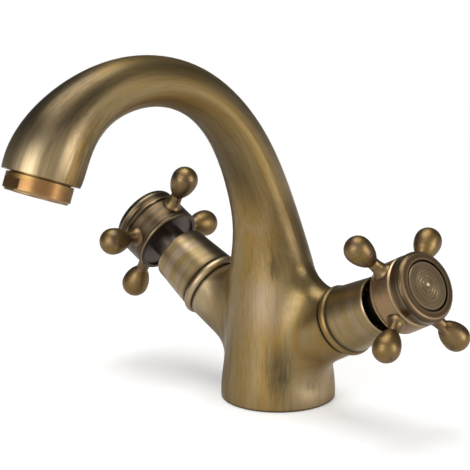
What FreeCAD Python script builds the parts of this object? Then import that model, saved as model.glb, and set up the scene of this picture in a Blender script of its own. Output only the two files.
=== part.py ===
"""Swan-neck basin mixer with two cross handles, as an assembly of separate pieces.

Millimetres and degrees. Z is up, the origin is the centre of the foot on the basin, the spout
reaches towards -Y, and the handles stand out along +X (cold) and -X (hot), leaning up.
"""
import FreeCAD, Part
import math
import os

import Sketcher

Vector = FreeCAD.Vector
Rotation = FreeCAD.Rotation
X_AXIS = Vector(1, 0, 0)
Y_AXIS = Vector(0, 1, 0)
Z_AXIS = Vector(0, 0, 1)

# Distances named *_at lie along a handle's axis, measured from where the two handle axes meet.
SIZES = {
    # the casting: foot, riser and swan neck
    "foot_radius": (24.1, "foot of the casting at the basin"),
    "foot_lift": (0.2, "gap that the base seal keeps under the casting"),
    "foot_round": (0.6, "rounding of the foot's lower edge"),
    "waist_height": (14.0, "height of the waist above the basin"),
    "waist_radius": (23.2, "casting at the waist"),
    "shoulder_height": (31.0, "height of the shoulder"),
    "shoulder_wide": (21.8, "half width of the casting at the shoulder"),
    "shoulder_deep": (20.8, "half depth of the casting at the shoulder"),
    "shoulder_shift": (1.0, "shoulder's shift towards the spout"),
    "riser_height": (43.5, "height where the riser starts to bend"),
    "riser_shift": (3.0, "riser's shift towards the spout"),
    "riser_wide": (19.6, "half width of the riser above the shoulder"),
    "riser_deep": (16.3, "half depth of the riser above the shoulder"),
    "riser_bend": (133.0, "bend radius of the riser's centre line"),
    "riser_turn": (33.3, "angle turned by the riser"),
    "arch_bend": (68.6, "bend radius of the arch's centre line"),
    "arch_turn": (75.3, "angle turned by the arch"),
    "tip_bend": (45.0, "bend radius of the tip's centre line"),
    "tip_turn": (48.8, "angle turned by the tip"),
    "riser_mid_wide": (15.0, "half width halfway up the riser"),
    "riser_mid_deep": (13.6, "half depth halfway up the riser"),
    "riser_high_radius": (12.3, "spout high up the riser"),
    "riser_end_radius": (10.9, "spout at the end of the riser"),
    "arch_low_radius": (9.8, "spout at its slimmest"),
    "crown_radius": (10.15, "spout at the crown of the arch"),
    "arch_end_radius": (11.65, "spout where the arch ends"),
    "bell_radius": (13.55, "spout partway down the tip"),
    "bell_full_radius": (15.4, "spout at its fullest, above the mouth"),
    "mouth_radius": (15.4, "spout at the mouth"),
    # the casting: arms and waterways
    "arm_root": (20.2, "height where the two handle axes meet"),
    "arm_lean": (28.6, "lean of each handle axis above level"),
    "arm_radius": (13.8, "arm of the casting"),
    "arm_end_at": (41.0, "end face of the arm"),
    "arm_blend": (16.0, "blend between arm and riser"),
    "recess_step": (0.3, "step between the base seal and the hollow under the foot"),
    "recess_depth": (4.6, "depth of the hollow under the foot"),
    "inlet_spacing": (18.0, "distance between the two inlets"),
    "inlet_radius": (4.5, "inlet, tapped M10x1"),
    "inlet_thread": (11.0, "depth of the inlet's thread"),
    "channel_radius": (3.6, "channel from inlet to valve seat"),
    "channel_root_at": (8.5, "inner end of the channel to the seat"),
    "stud_shift": (12.5, "fixing stud's distance behind the centre"),
    "stud_radius": (3.4, "fixing stud's hole, tapped M8"),
    "stud_thread": (12.0, "depth of the stud's thread"),
    "seat_at": (19.5, "valve seat at the bottom of the arm's bore"),
    "crossing_height": (40.0, "channel that joins both valve bores"),
    "crossing_radius": (3.5, "radius of that channel"),
    "crossing_length": (48.0, "length of that channel"),
    "waterway_radius": (5.5, "waterway through the spout"),
    # fits
    "thread_gap": (0.05, "radial gap of a thread"),
    "running_gap": (0.05, "radial gap of a turning fit"),
    "assembly_gap": (0.1, "radial gap between pieces that only sit together"),
    "wide_gap": (0.2, "gap round the bonnet's hexagon, its washer and a spoke's stud end"),
    "disc_gap": (0.02, "gap between the two ceramic discs"),
    # base seal
    "seal_margin": (1.8, "foot's rim outside the base seal"),
    "seal_width": (3.0, "base seal's width"),
    "seal_height": (2.0, "base seal's thickness"),
    # trim ring between arm and sleeve
    "trim_neck": (0.7, "undercut between arm and bead"),
    "trim_neck_radius": (13.2, "trim ring at the undercut"),
    "bead_length": (4.3, "length of the bead"),
    "bead_edge_radius": (13.6, "bead at its two edges"),
    "bead_bend": (2.35, "radius of the bead's section"),
    # valve sleeve
    "sleeve_length": (20.3, "length of the sleeve"),
    "sleeve_radius": (14.1, "sleeve at the arm's end"),
    "sleeve_neck_radius": (12.45, "sleeve near its mouth"),
    "sleeve_lip_radius": (12.1, "sleeve at its lip"),
    "sleeve_lip_length": (1.6, "length of the rounded lip"),
    "sleeve_lip_bend": (4.0, "bend of the rounded lip"),
    "sleeve_edge": (0.3, "chamfer at the sleeve's inner end"),
    "sleeve_wall": (0.9, "sleeve's wall"),
    "sleeve_lip_wall": (0.5, "wall at the lip"),
    "sleeve_web_at": (48.5, "web that screws on the valve"),
    "sleeve_web": (3.0, "thickness of the web"),
    # valve: bonnet, seals, discs, spindle
    "bonnet_thread_radius": (10.0, "bonnet's lower thread"),
    "bonnet_neck_radius": (8.0, "bonnet's upper thread"),
    "bonnet_nose_radius": (6.2, "bonnet's nose"),
    "bonnet_nose_at": (55.5, "start of the nose"),
    "bonnet_top_at": (58.0, "end of the nose"),
    "bonnet_hex": (22.0, "bonnet's hexagon across its flats"),
    "bonnet_hex_height": (5.0, "height of the hexagon"),
    "basket_radius": (9.2, "bonnet's basket"),
    "basket_rise": (1.5, "basket's end above the seat"),
    "basket_top_at": (33.0, "end of the basket"),
    "basket_bore": (7.2, "disc chamber in the basket"),
    "basket_bore_top_at": (33.6, "end of the disc chamber"),
    "window_width": (8.0, "water window in the basket"),
    "window_height": (4.4, "height of the water window"),
    "washer_thickness": (0.8, "fibre washer under the hexagon"),
    "washer_width": (1.6, "width of the fibre washer"),
    "seat_seal_height": (5.0, "rubber seal under the discs"),
    "seat_seal_bore": (5.6, "bore of that seal"),
    "disc_radius": (7.1, "ceramic discs"),
    "fixed_disc_height": (2.5, "fixed disc"),
    "moving_disc_height": (2.4, "turning disc"),
    "port_radius": (1.8, "port in a disc"),
    "port_shift": (3.6, "port's distance from the axis"),
    "key_width": (3.0, "key slot in the turning disc"),
    "key_depth": (1.2, "depth of the key slot"),
    "key_length": (11.8, "length of the spindle's key"),
    "driver_radius": (6.9, "spindle's driver"),
    "driver_height": (3.6, "height of the driver"),
    "spindle_radius": (4.4, "spindle in the bonnet"),
    "spindle_end_at": (72.9, "outer end of the spindle"),
    "spline_radius": (4.0, "spindle's splines, over the tips"),
    "spline_root": (3.6, "spindle's splines, at the roots"),
    "spline_gap": (1.4, "gap between bonnet and splines"),
    "spline_teeth": (20, "number of spline teeth"),
    "tapping_radius": (2.5, "tapped hole in the spindle, M5"),
    "tapping_depth": (12.5, "depth of that hole"),
    "ring_section": (0.6, "O-ring's section radius"),
    "ring_mid_radius": (3.8, "O-ring's centre line"),
    "first_ring_at": (48.0, "inner O-ring"),
    "second_ring_at": (53.0, "outer O-ring"),
    "clip_thickness": (0.8, "retaining clip"),
    "clip_radius": (5.6, "retaining clip over its edge"),
    "clip_groove_radius": (3.7, "clip's groove in the spindle"),
    "clip_opening": (60.0, "angle left open in the clip"),
    # handle: hub, spokes, cap, screw
    "adapter_radius": (5.2, "spline adapter"),
    "adapter_gap": (3.0, "gap between bonnet and adapter"),
    "neck_radius": (7.3, "handle's neck"),
    "neck_gap": (2.5, "gap between bonnet and handle's neck"),
    "hub_at": (73.9, "hub's underside"),
    "hub_radius": (15.0, "hub"),
    "hub_rim_radius": (14.2, "hub at its underside edge"),
    "hub_rim_round": (1.1, "rounding of that edge"),
    "hub_recess": (1.0, "recess in the hub's underside"),
    "hub_recess_radius": (13.2, "outer edge of that recess"),
    "hub_line_at": (75.7, "fine turned line round the hub"),
    "hub_line": (0.25, "half width and depth of a turned line"),
    "hub_end_at": (85.3, "hub's outer end"),
    "hub_chamfer": (0.7, "chamfer at that end"),
    "floor_thickness": (3.2, "hub's floor under the screw head"),
    "floor_gap": (0.05, "gap between the spindle's end and the floor"),
    "access_radius": (6.0, "hub's bore above the floor"),
    "spigot_radius": (11.5, "spigot that carries the cap ring"),
    "spigot_length": (3.1, "length of the spigot"),
    "spoke_at": (80.5, "plane of the four spokes"),
    "hot_turn": (3.8, "angle of the hot handle's first spoke"),
    "cold_turn": (38.2, "angle of the cold handle's first spoke"),
    "spoke_stud_radius": (2.0, "spoke's threaded stud"),
    "spoke_stud_start": (9.6, "stud's inner end from the handle axis"),
    "spoke_foot_start": (14.2, "floor of the spoke's seat from the handle axis"),
    "spoke_foot_end": (15.0, "where the foot starts to taper"),
    "spoke_foot_radius": (3.5, "spoke's foot"),
    "spoke_seat_gap": (0.25, "dark line round the spoke's foot"),
    "spoke_flare": (6.0, "bend from foot to neck"),
    "spoke_seat_reach": (3.0, "reach of the seat's cutter past the hub"),
    "spoke_neck_radius": (2.4, "spoke's neck"),
    "ball_blend": (9.5, "bend from neck to ball"),
    "ball_radius": (5.75, "ball"),
    "ball_shift": (29.05, "ball's centre from the handle axis"),
    "cap_radius": (14.95, "cap ring"),
    "cap_chamfer": (0.9, "chamfer at the cap ring's inner end"),
    "cap_edge_at": (89.6, "edge between side and rounded rim"),
    "cap_waist": (0.25, "hollow of the cap ring's side"),
    "cap_rim_radius": (13.9, "rounded rim where it meets the face"),
    "cap_rim_bend": (3.0, "bend of the rounded rim"),
    "cap_face_at": (92.4, "cap ring's face"),
    "cap_bevel_height": (0.3, "height of the bevel round that face"),
    "cap_bevel_width": (0.5, "width of that bevel"),
    "cap_ledge_at": (89.4, "ledge that carries the index disc"),
    "cap_ledge": (0.8, "thickness of that ledge"),
    "cap_ledge_bore": (9.0, "bore of that ledge"),
    "pocket_radius": (10.7, "pocket for the index disc"),
    "index_radius": (10.2, "index disc's raised face"),
    "index_flange": (1.3, "height of the disc's flange"),
    "index_height": (2.95, "height of the index disc"),
    "index_bevel": (0.3, "bevel round the disc's face"),
    "index_outer_ring": (5.4, "outer turned ring"),
    "index_ring_step": (1.35, "distance between turned rings"),
    "index_ring_depth": (0.16, "depth of a turned ring"),
    "dimple_radius": (1.2, "dimple at the centre"),
    "dimple_depth": (0.5, "depth of the dimple"),
    "screw_radius": (2.45, "handle screw's shank"),
    "screw_length": (13.0, "handle screw's shank length"),
    "screw_head_radius": (4.6, "handle screw's head"),
    "screw_head_height": (3.0, "height of the head"),
    "screw_slot": (1.2, "width of the head's slot"),
    "screw_slot_depth": (1.3, "depth of the head's slot"),
    "screw_hole_gap": (0.25, "gap round the screw in the hub's floor"),
    # aerator, measured outwards from the spout's mouth
    "aerator_thread_radius": (11.95, "aerator's thread"),
    "aerator_thread_length": (5.6, "thread above the mouth"),
    "aerator_washer_height": (1.0, "rubber washer above the thread"),
    "aerator_washer_bore": (9.6, "bore of that washer"),
    "outlet_chamber_radius": (9.2, "chamber above the aerator"),
    "outlet_chamber_depth": (3.0, "depth of that chamber"),
    "aerator_gap": (0.6, "dark gap between mouth and ring"),
    "aerator_radius": (13.25, "aerator's ring"),
    "aerator_height": (6.9, "height of the ring"),
    "aerator_edge": (0.9, "rounding of the ring's outer edge"),
    "aerator_corner": (0.2, "chamfer of the ring's inner edge"),
    "aerator_bore": (10.2, "bore of the housing"),
    "aerator_lip": (1.9, "height of the lip that holds the insert"),
    "aerator_lip_bore": (9.3, "bore of that lip"),
    "flat_distance": (12.1, "wrench flat's distance from the axis"),
    "flat_start": (2.7, "start of the flat below the mouth"),
    "flat_turn": (11.0, "turn of the flats from the front"),
    "insert_wall": (1.0, "wall of the plastic insert"),
    "insert_plate": (1.4, "perforated plate of the insert"),
    "insert_rise": (4.6, "insert's rim above the mouth"),
    "jet_radius": (0.9, "hole in the plate"),
    "jet_ring_step": (2.6, "distance between rings of holes"),
    "screen_thickness": (0.5, "wire screen"),
    "screen_hole": (0.65, "hole in the screen"),
    "screen_ring_step": (2.5, "distance between the screen's rings of holes"),
}
RINGS_OF_HOLES = 3
HOLES_IN_FIRST_RING = 6


class Size:
    """A length, angle or ratio that knows its number and the sheet formula behind it."""

    def __init__(self, number, formula):
        self.number = number
        self.formula = formula

    def join(self, other, sign, number):
        return Size(number, "(%s %s %s)" % (self.formula, sign, other.formula))

    def __add__(self, other):
        other = as_size(other)
        return self.join(other, "+", self.number + other.number)

    def __sub__(self, other):
        other = as_size(other)
        return self.join(other, "-", self.number - other.number)

    def __mul__(self, other):
        other = as_size(other)
        return self.join(other, "*", self.number * other.number)

    def __truediv__(self, other):
        other = as_size(other)
        return self.join(other, "/", self.number / other.number)

    def __neg__(self):
        return as_size(0) - self


def as_size(value):
    if isinstance(value, Size):
        return value
    return Size(float(value), "(%.9g)" % value)


def size(alias):
    return Size(float(SIZES[alias][0]), "Sizes." + alias)


def root(value):
    return Size(math.sqrt(value.number), "sqrt(%s)" % value.formula)


def cosine(angle):
    return Size(math.cos(math.radians(angle.number)), "cos(%s * 1 deg)" % angle.formula)


def sine(angle):
    return Size(math.sin(math.radians(angle.number)), "sin(%s * 1 deg)" % angle.formula)


ZERO = as_size(0)
OVERSHOOT = as_size(1)  # how far a cutter reaches past the face it cuts through


# ---------------------------------------------------------------- document and drawing helpers

def write_sheet(document):
    sheet = document.addObject("Spreadsheet::Sheet", "Sizes")
    for row, (alias, (number, words)) in enumerate(SIZES.items(), start=1):
        sheet.set("A%d" % row, words)
        sheet.set("B%d" % row, str(number))
        sheet.setAlias("B%d" % row, alias)
    document.recompute()


def bind(item, path, value):
    item.setExpression(path, as_size(value).formula)


def origin_part(body, role):
    return next(item for item in body.Origin.OriginFeatures if item.Role == role)


def new_body(document, label):
    body = document.addObject("PartDesign::Body", "Body_" + label)
    body.Label = label
    body.AllowCompound = True
    return body


def new_sketch(body, plane="XZ_Plane", rise=None, turn=None):
    """A sketch on one of the body's own planes, lifted along its normal and turned in it."""
    sketch = body.newObject("Sketcher::SketchObject", "Sketch")
    sketch.AttachmentSupport = [(origin_part(body, plane), "")]
    sketch.MapMode = "FlatFace"
    rise = as_size(rise or 0)
    turn = as_size(turn or 0)
    lift = Vector(0, 0, rise.number)
    sketch.AttachmentOffset = FreeCAD.Placement(lift, Rotation(Z_AXIS, turn.number or 1.0))
    bind(sketch, "AttachmentOffset.Base.z", rise)
    bind(sketch, "AttachmentOffset.Rotation.Angle", turn)
    return sketch


def fix_point(sketch, edge, end, across, along, name):
    """Hold a point of the drawing at its two named distances from the sketch's origin."""
    for axis, kind, value in ((-2, "DistanceX", across), (-1, "DistanceY", along)):
        if value.number == 0:
            sketch.addConstraint(Sketcher.Constraint("PointOnObject", edge, end, axis))
            continue
        limit = Sketcher.Constraint(kind, -1, 1, edge, end, value.number)
        index = sketch.addConstraint(limit)
        sketch.renameConstraint(index, name + kind)
        bind(sketch, "Constraints." + name + kind, value)


def arc_between(start, end, radius, side):
    """Minor arc from start to end; side is 1 where it turns left and -1 where it turns right."""
    chord = end - start
    middle = (start + end) * 0.5
    offset = math.sqrt(max(radius ** 2 - (chord.Length / 2) ** 2, 0))
    left = Vector(-chord.y, chord.x, 0).normalize()
    centre = middle + left * (side * offset)
    first, last = (start, end) if side > 0 else (end, start)
    begin = math.atan2(first.y - centre.y, first.x - centre.x)
    finish = math.atan2(last.y - centre.y, last.x - centre.x)
    if finish < begin:
        finish += 2 * math.pi
    return Part.ArcOfCircle(Part.Circle(centre, Z_AXIS, radius), begin, finish)


def draw(sketch, corners, closed=True):
    """Draw an outline. A corner is (across, along), or (across, along, radius, side) for an arc to it."""
    corners = [tuple(as_size(value) for value in corner) for corner in corners]
    points = [Vector(corner[0].number, corner[1].number, 0) for corner in corners]
    base = sketch.GeometryCount
    count = len(corners)
    edges = count if closed else count - 1
    ends = []
    for index in range(edges):
        target = (index + 1) % count
        corner = corners[target]
        edge = base + index
        if len(corner) == 2:
            sketch.addGeometry(Part.LineSegment(points[index], points[target]), False)
            ends.append((1, 2))
            continue
        side = corner[3].number
        arc = arc_between(points[index], points[target], corner[2].number, side)
        sketch.addGeometry(arc, False)
        ends.append((1, 2) if side > 0 else (2, 1))
        limit = sketch.addConstraint(Sketcher.Constraint("Radius", edge, corner[2].number))
        name = "Arc%d" % edge
        sketch.renameConstraint(limit, name)
        bind(sketch, "Constraints." + name, corner[2])
    for index in range(edges if closed else edges - 1):
        other = (index + 1) % edges
        join = (base + index, ends[index][1], base + other, ends[other][0])
        sketch.addConstraint(Sketcher.Constraint("Coincident", *join))
    for index in range(edges):
        corner = corners[index]
        name = "Point%d" % (base + index)
        fix_point(sketch, base + index, ends[index][0], corner[0], corner[1], name)
    if not closed:
        corner = corners[-1]
        fix_point(sketch, base + edges - 1, ends[-1][1], corner[0], corner[1], "Last")


def draw_circle(sketch, across, along, radius):
    edge = sketch.GeometryCount
    across, along = as_size(across), as_size(along)
    centre = Vector(across.number, along.number, 0)
    sketch.addGeometry(Part.Circle(centre, Z_AXIS, radius.number), False)
    limit = sketch.addConstraint(Sketcher.Constraint("Radius", edge, radius.number))
    name = "Circle%d" % edge
    sketch.renameConstraint(limit, name)
    bind(sketch, "Constraints." + name, radius)
    fix_point(sketch, edge, 3, across, along, "Centre%d" % edge)


def revolve(body, sketch, kind="Revolution", axis="V_Axis", opening=None):
    """Turn a drawing about one of its own axes; opening is an angle left out of the turn."""
    feature = body.newObject("PartDesign::" + kind, kind)
    feature.Profile = sketch
    feature.ReferenceAxis = (sketch, [axis])
    feature.Angle = 360
    if opening is not None:
        bind(feature, "Angle", as_size(360) - opening)
    body.Tip = feature
    return feature


def turned(document, label, corners, opening=None):
    """A turned piece: its half section, as (radius, height), revolved about the body's Z axis."""
    body = new_body(document, label)
    sketch = new_sketch(body)
    draw(sketch, corners)
    revolve(body, sketch, opening=opening)
    return body


def pocket(body, sketch, depth=None, upwards=False, both_ways=False):
    """Cut a drawing out of the body; without a depth it goes all the way."""
    feature = body.newObject("PartDesign::Pocket", "Pocket")
    feature.Profile = sketch
    if depth is None:
        feature.Type = "ThroughAll"
    else:
        feature.Type = "Length"
        bind(feature, "Length", depth)
    feature.Reversed = upwards
    feature.Midplane = both_ways
    body.Tip = feature
    return feature


def pad(body, sketch, height):
    feature = body.newObject("PartDesign::Pad", "Pad")
    feature.Profile = sketch
    bind(feature, "Length", height)
    body.Tip = feature
    return feature


def repeat_round(body, feature, count):
    """Repeat a feature evenly round the body's Z axis."""
    pattern = body.newObject("PartDesign::PolarPattern", "PolarPattern")
    pattern.Originals = [feature]
    pattern.Axis = (origin_part(body, "Z_Axis"), [""])
    pattern.Angle = 360
    pattern.Occurrences = count
    body.Tip = pattern
    return pattern


def box_outline(left, bottom, right, top):
    return [(left, bottom), (right, bottom), (right, top), (left, top)]


def perforate(body, hole_radius, ring_step, rise):
    """One hole in the middle and rings of holes round it, cut upwards from the given height."""
    sketch = new_sketch(body, "XY_Plane", rise)
    draw_circle(sketch, 0, 0, hole_radius)
    pocket(body, sketch, upwards=True)
    for ring in range(1, RINGS_OF_HOLES + 1):
        sketch = new_sketch(body, "XY_Plane", rise)
        draw_circle(sketch, ring_step * ring, 0, hole_radius)
        hole = pocket(body, sketch, upwards=True)
        repeat_round(body, hole, HOLES_IN_FIRST_RING * ring)


def place_on_arm(item, side):
    """Stand a piece made along Z on a handle axis: side is 1 for cold and -1 for hot."""
    lean = as_size(90) - size("arm_lean")
    height = size("arm_root")
    turn = Rotation(Vector(0, side, 0), lean.number)
    item.Placement = FreeCAD.Placement(Vector(0, 0, height.number), turn)
    bind(item, "Placement.Base.z", height)
    bind(item, "Placement.Rotation.Angle", lean)


def place_at_mouth(item):
    """Stand a piece made along Z at the spout's mouth, pointing out of it."""
    across, height, turn = spout_point(3, 1)
    turning = Rotation(X_AXIS, turn.number)
    item.Placement = FreeCAD.Placement(Vector(0, across.number, height.number), turning)
    bind(item, "Placement.Base.y", across)
    bind(item, "Placement.Base.z", height)
    bind(item, "Placement.Rotation.Angle", turn)


# ---------------------------------------------------------------- the spout's centre line

def spout_bends():
    """Centre (y, z), radius and start angle of the three arcs, each tangent to the last."""
    bends = []
    angle = ZERO
    radius = size("riser_bend")
    across = -(size("riser_shift") + radius)
    height = size("riser_height")
    for name in ("riser", "arch", "tip"):
        next_radius = size(name + "_bend")
        if bends:
            across = across + (radius - next_radius) * cosine(angle)
            height = height + (radius - next_radius) * sine(angle)
        radius = next_radius
        bends.append((across, height, radius, angle))
        angle = angle + size(name + "_turn")
    return bends, angle


def spout_point(bend, share):
    """Point (y, z) and turn of the centre line at a share of bend 1 (riser), 2 (arch) or 3 (tip)."""
    bends, last_angle = spout_bends()
    across, height, radius, start = bends[bend - 1]
    end = bends[bend][3] if bend < len(bends) else last_angle
    angle = start + (end - start) * share
    return across + radius * cosine(angle), height + radius * sine(angle), angle


# ---------------------------------------------------------------- the casting

def section(document, across, height, turn, wide, deep):
    """An oval square to the centre line: wide is half its width along X, deep half its depth."""
    oval = document.addObject("Part::Ellipse", "Section")
    turning = Rotation(X_AXIS, turn.number or 1.0)
    oval.Placement = FreeCAD.Placement(Vector(0, across.number, height.number), turning)
    oval.MajorRadius = wide.number
    oval.MinorRadius = deep.number
    bind(oval, "MajorRadius", wide)
    bind(oval, "MinorRadius", deep)
    bind(oval, "Placement.Base.y", across)
    bind(oval, "Placement.Base.z", height)
    bind(oval, "Placement.Rotation.Angle", turn)
    return oval


def riser_and_neck(document):
    """Foot, riser and swan neck, lofted through ovals square to the centre line."""
    upright = [
        (ZERO, size("foot_lift"), "foot_radius", "foot_radius"),
        (ZERO, size("waist_height"), "waist_radius", "waist_radius"),
        (-size("shoulder_shift"), size("shoulder_height"), "shoulder_wide", "shoulder_deep"),
    ]
    bent = [
        (1, 0.15, "riser_wide", "riser_deep"),
        (1, 0.42, "riser_mid_wide", "riser_mid_deep"),
        (1, 0.7, "riser_high_radius", "riser_high_radius"),
        (1, 1.0, "riser_end_radius", "riser_end_radius"),
        (2, 0.34, "arch_low_radius", "arch_low_radius"),
        (2, 0.67, "crown_radius", "crown_radius"),
        (2, 1.0, "arch_end_radius", "arch_end_radius"),
        (3, 0.4, "bell_radius", "bell_radius"),
        (3, 0.74, "bell_full_radius", "bell_full_radius"),
        (3, 1.0, "mouth_radius", "mouth_radius"),
    ]
    places = [(across, height, ZERO, wide, deep) for across, height, wide, deep in upright]
    places += [(*spout_point(bend, share), wide, deep) for bend, share, wide, deep in bent]
    sections = []
    for across, height, turn, wide, deep in places:
        sections.append(section(document, across, height, turn, size(wide), size(deep)))
    loft = document.addObject("Part::Loft", "RiserAndNeck")
    loft.Sections = sections
    loft.Solid = True
    return loft


def rod(document, name, radius, start, length):
    """A cylinder along Z from a starting height."""
    cylinder = document.addObject("Part::Cylinder", name)
    bind(cylinder, "Radius", radius)
    bind(cylinder, "Height", length)
    cylinder.Placement.Base = Vector(0, 0, start.number)
    bind(cylinder, "Placement.Base.z", start)
    return cylinder


def arm_rod(document, name, radius, start, end, side):
    """A cylinder along a handle axis, between two distances from where the axes meet."""
    lean = as_size(90) - size("arm_lean")
    cylinder = document.addObject("Part::Cylinder", name)
    bind(cylinder, "Radius", radius)
    bind(cylinder, "Height", end - start)
    cylinder.Placement = FreeCAD.Placement(Vector(0, 0, 0), Rotation(Vector(0, side, 0), lean.number))
    bind(cylinder, "Placement.Rotation.Angle", lean)
    bind(cylinder, "Placement.Base.x", start * cosine(size("arm_lean")) * side)
    bind(cylinder, "Placement.Base.z", size("arm_root") + start * sine(size("arm_lean")))
    return cylinder


def distance_from_arm(point):
    """Distance of a point from the nearer handle axis, and how far along that axis it lies."""
    lean = math.radians(size("arm_lean").number)
    axis = Vector(math.copysign(math.cos(lean), point.x), 0, math.sin(lean))
    offset = point - Vector(0, 0, size("arm_root").number)
    along = offset.dot(axis)
    return (offset - axis * along).Length, along


def blend_edges(shape):
    """Radii for the edges to round: where an arm meets the riser, and the foot's lower edge."""
    chosen = []
    arm_radius, arm_end = size("arm_radius").number, size("arm_end_at").number
    near = 0.01
    for index, edge in enumerate(shape.Edges, start=1):
        points = edge.discretize(7)
        if edge.Curve.TypeId == "Part::GeomLine":
            continue
        if all(abs(point.z - size("foot_lift").number) < near for point in points):
            chosen.append((index, size("foot_round").number))
            continue
        places = [distance_from_arm(point) for point in points]
        on_arm = all(abs(distance - arm_radius) < near for distance, along in places)
        at_end = all(abs(along - arm_end) < near for distance, along in places)
        if on_arm and not at_end:
            chosen.append((index, size("arm_blend").number))
    return [(index, radius, radius) for index, radius in chosen]


def outside_of_casting(document):
    neck = riser_and_neck(document)
    arms = [arm_rod(document, "Arm", size("arm_radius"), ZERO, size("arm_end_at"), side) for side in (1, -1)]
    whole = document.addObject("Part::MultiFuse", "RawCasting")
    whole.Shapes = [neck] + arms
    whole.Refine = True
    document.recompute()
    rounded = document.addObject("Part::Fillet", "RoundedCasting")
    rounded.Base = whole
    rounded.Edges = blend_edges(whole.Shape)
    return rounded


def waterway(document):
    """The passage through riser and neck: one circle swept along the centre line."""
    route = document.addObject("Sketcher::SketchObject", "WaterwayRoute")
    route.Placement = FreeCAD.Placement(Vector(0, 0, 0), Rotation(Vector(1, 1, 1), 120))
    start = (-size("riser_shift"), size("crossing_height"))
    corners = [start]
    for bend in (1, 2, 3):
        across, height, turn = spout_point(bend, 0)
        if bend == 1:
            corners.append((across, height))
        across, height, turn = spout_point(bend, 1)
        corners.append((across, height, size(("riser", "arch", "tip")[bend - 1] + "_bend"), 1))
    draw(route, corners, closed=False)
    radius = size("waterway_radius")
    profile = section(document, *start, ZERO, radius, radius)
    passage = document.addObject("Part::Sweep", "Waterway")
    passage.Sections = [profile]
    passage.Spine = (route, ["Edge%d" % number for number in range(1, len(corners))])
    passage.Solid = True
    return passage


def seal_outer():
    return size("foot_radius") - size("seal_margin")


def hollows_of_casting(document):
    """Every hole in the casting: seal rebate, recess, inlets, stud hole, valve bores, channels, outlet."""
    below = -OVERSHOOT
    ceiling = size("foot_lift") + size("recess_depth")
    seal_radius = seal_outer() + size("assembly_gap")
    recess_radius = seal_outer() - size("seal_width") - size("recess_step")
    tools = [
        rod(document, "SealRebate", seal_radius, below, size("seal_height") - below),
        rod(document, "FootRecess", recess_radius, below, ceiling - below),
    ]
    stud = rod(document, "StudHole", size("stud_radius"), below, ceiling + size("stud_thread") - below)
    bind(stud, "Placement.Base.y", size("stud_shift"))
    tools.append(stud)
    lean = size("arm_lean")
    for side in (1, -1):
        inlet_x = size("inlet_spacing") / 2 * side
        inlet = rod(document, "Inlet", size("inlet_radius"), below, ceiling + size("inlet_thread") - below)
        axis_height = size("arm_root") + size("inlet_spacing") / 2 * sine(lean) / cosine(lean)
        feed = rod(document, "Feed", size("channel_radius"), ceiling, axis_height - ceiling)
        for item in (inlet, feed):
            bind(item, "Placement.Base.x", inlet_x)
            tools.append(item)
        bore = size("bonnet_thread_radius") + size("thread_gap")
        end = size("arm_end_at") + OVERSHOOT
        channel = (size("channel_radius"), size("channel_root_at"), size("seat_at") + OVERSHOOT)
        tools.append(arm_rod(document, "ValveBore", bore, size("seat_at"), end, side))
        tools.append(arm_rod(document, "SeatChannel", *channel, side))
    crossing = document.addObject("Part::Cylinder", "Crossing")
    crossing.Placement.Rotation = Rotation(Y_AXIS, 90)
    bind(crossing, "Radius", size("crossing_radius"))
    bind(crossing, "Height", size("crossing_length"))
    bind(crossing, "Placement.Base.x", -size("crossing_length") / 2)
    bind(crossing, "Placement.Base.y", -size("riser_shift"))
    bind(crossing, "Placement.Base.z", size("crossing_height"))
    tools.append(crossing)
    tools.append(waterway(document))
    thread_depth = size("aerator_thread_length") + size("aerator_washer_height")
    chamber_depth = thread_depth + size("outlet_chamber_depth")
    thread_bore = size("aerator_thread_radius") + size("thread_gap")
    for name, radius, depth in (
        ("OutletThread", thread_bore, thread_depth),
        ("OutletChamber", size("outlet_chamber_radius"), chamber_depth),
    ):
        cylinder = document.addObject("Part::Cylinder", name)
        bind(cylinder, "Radius", radius)
        bind(cylinder, "Height", depth + OVERSHOOT)
        place_at_mouth(cylinder)
        across, height, turn = spout_point(3, 1)
        bind(cylinder, "Placement.Base.y", across + depth * sine(turn))
        bind(cylinder, "Placement.Base.z", height - depth * cosine(turn))
        tools.append(cylinder)
    hollows = document.addObject("Part::MultiFuse", "Hollows")
    hollows.Shapes = tools
    return hollows


def make_tap_body(document):
    casting = document.addObject("Part::Cut", "TapBody")
    casting.Base = outside_of_casting(document)
    casting.Tool = hollows_of_casting(document)
    casting.Label = "tap_body"
    return casting


def make_base_seal(document):
    inner = seal_outer() - size("seal_width")
    return turned(document, "base_seal", box_outline(inner, ZERO, seal_outer(), size("seal_height")))


# ---------------------------------------------------------------- the aerator

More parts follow.
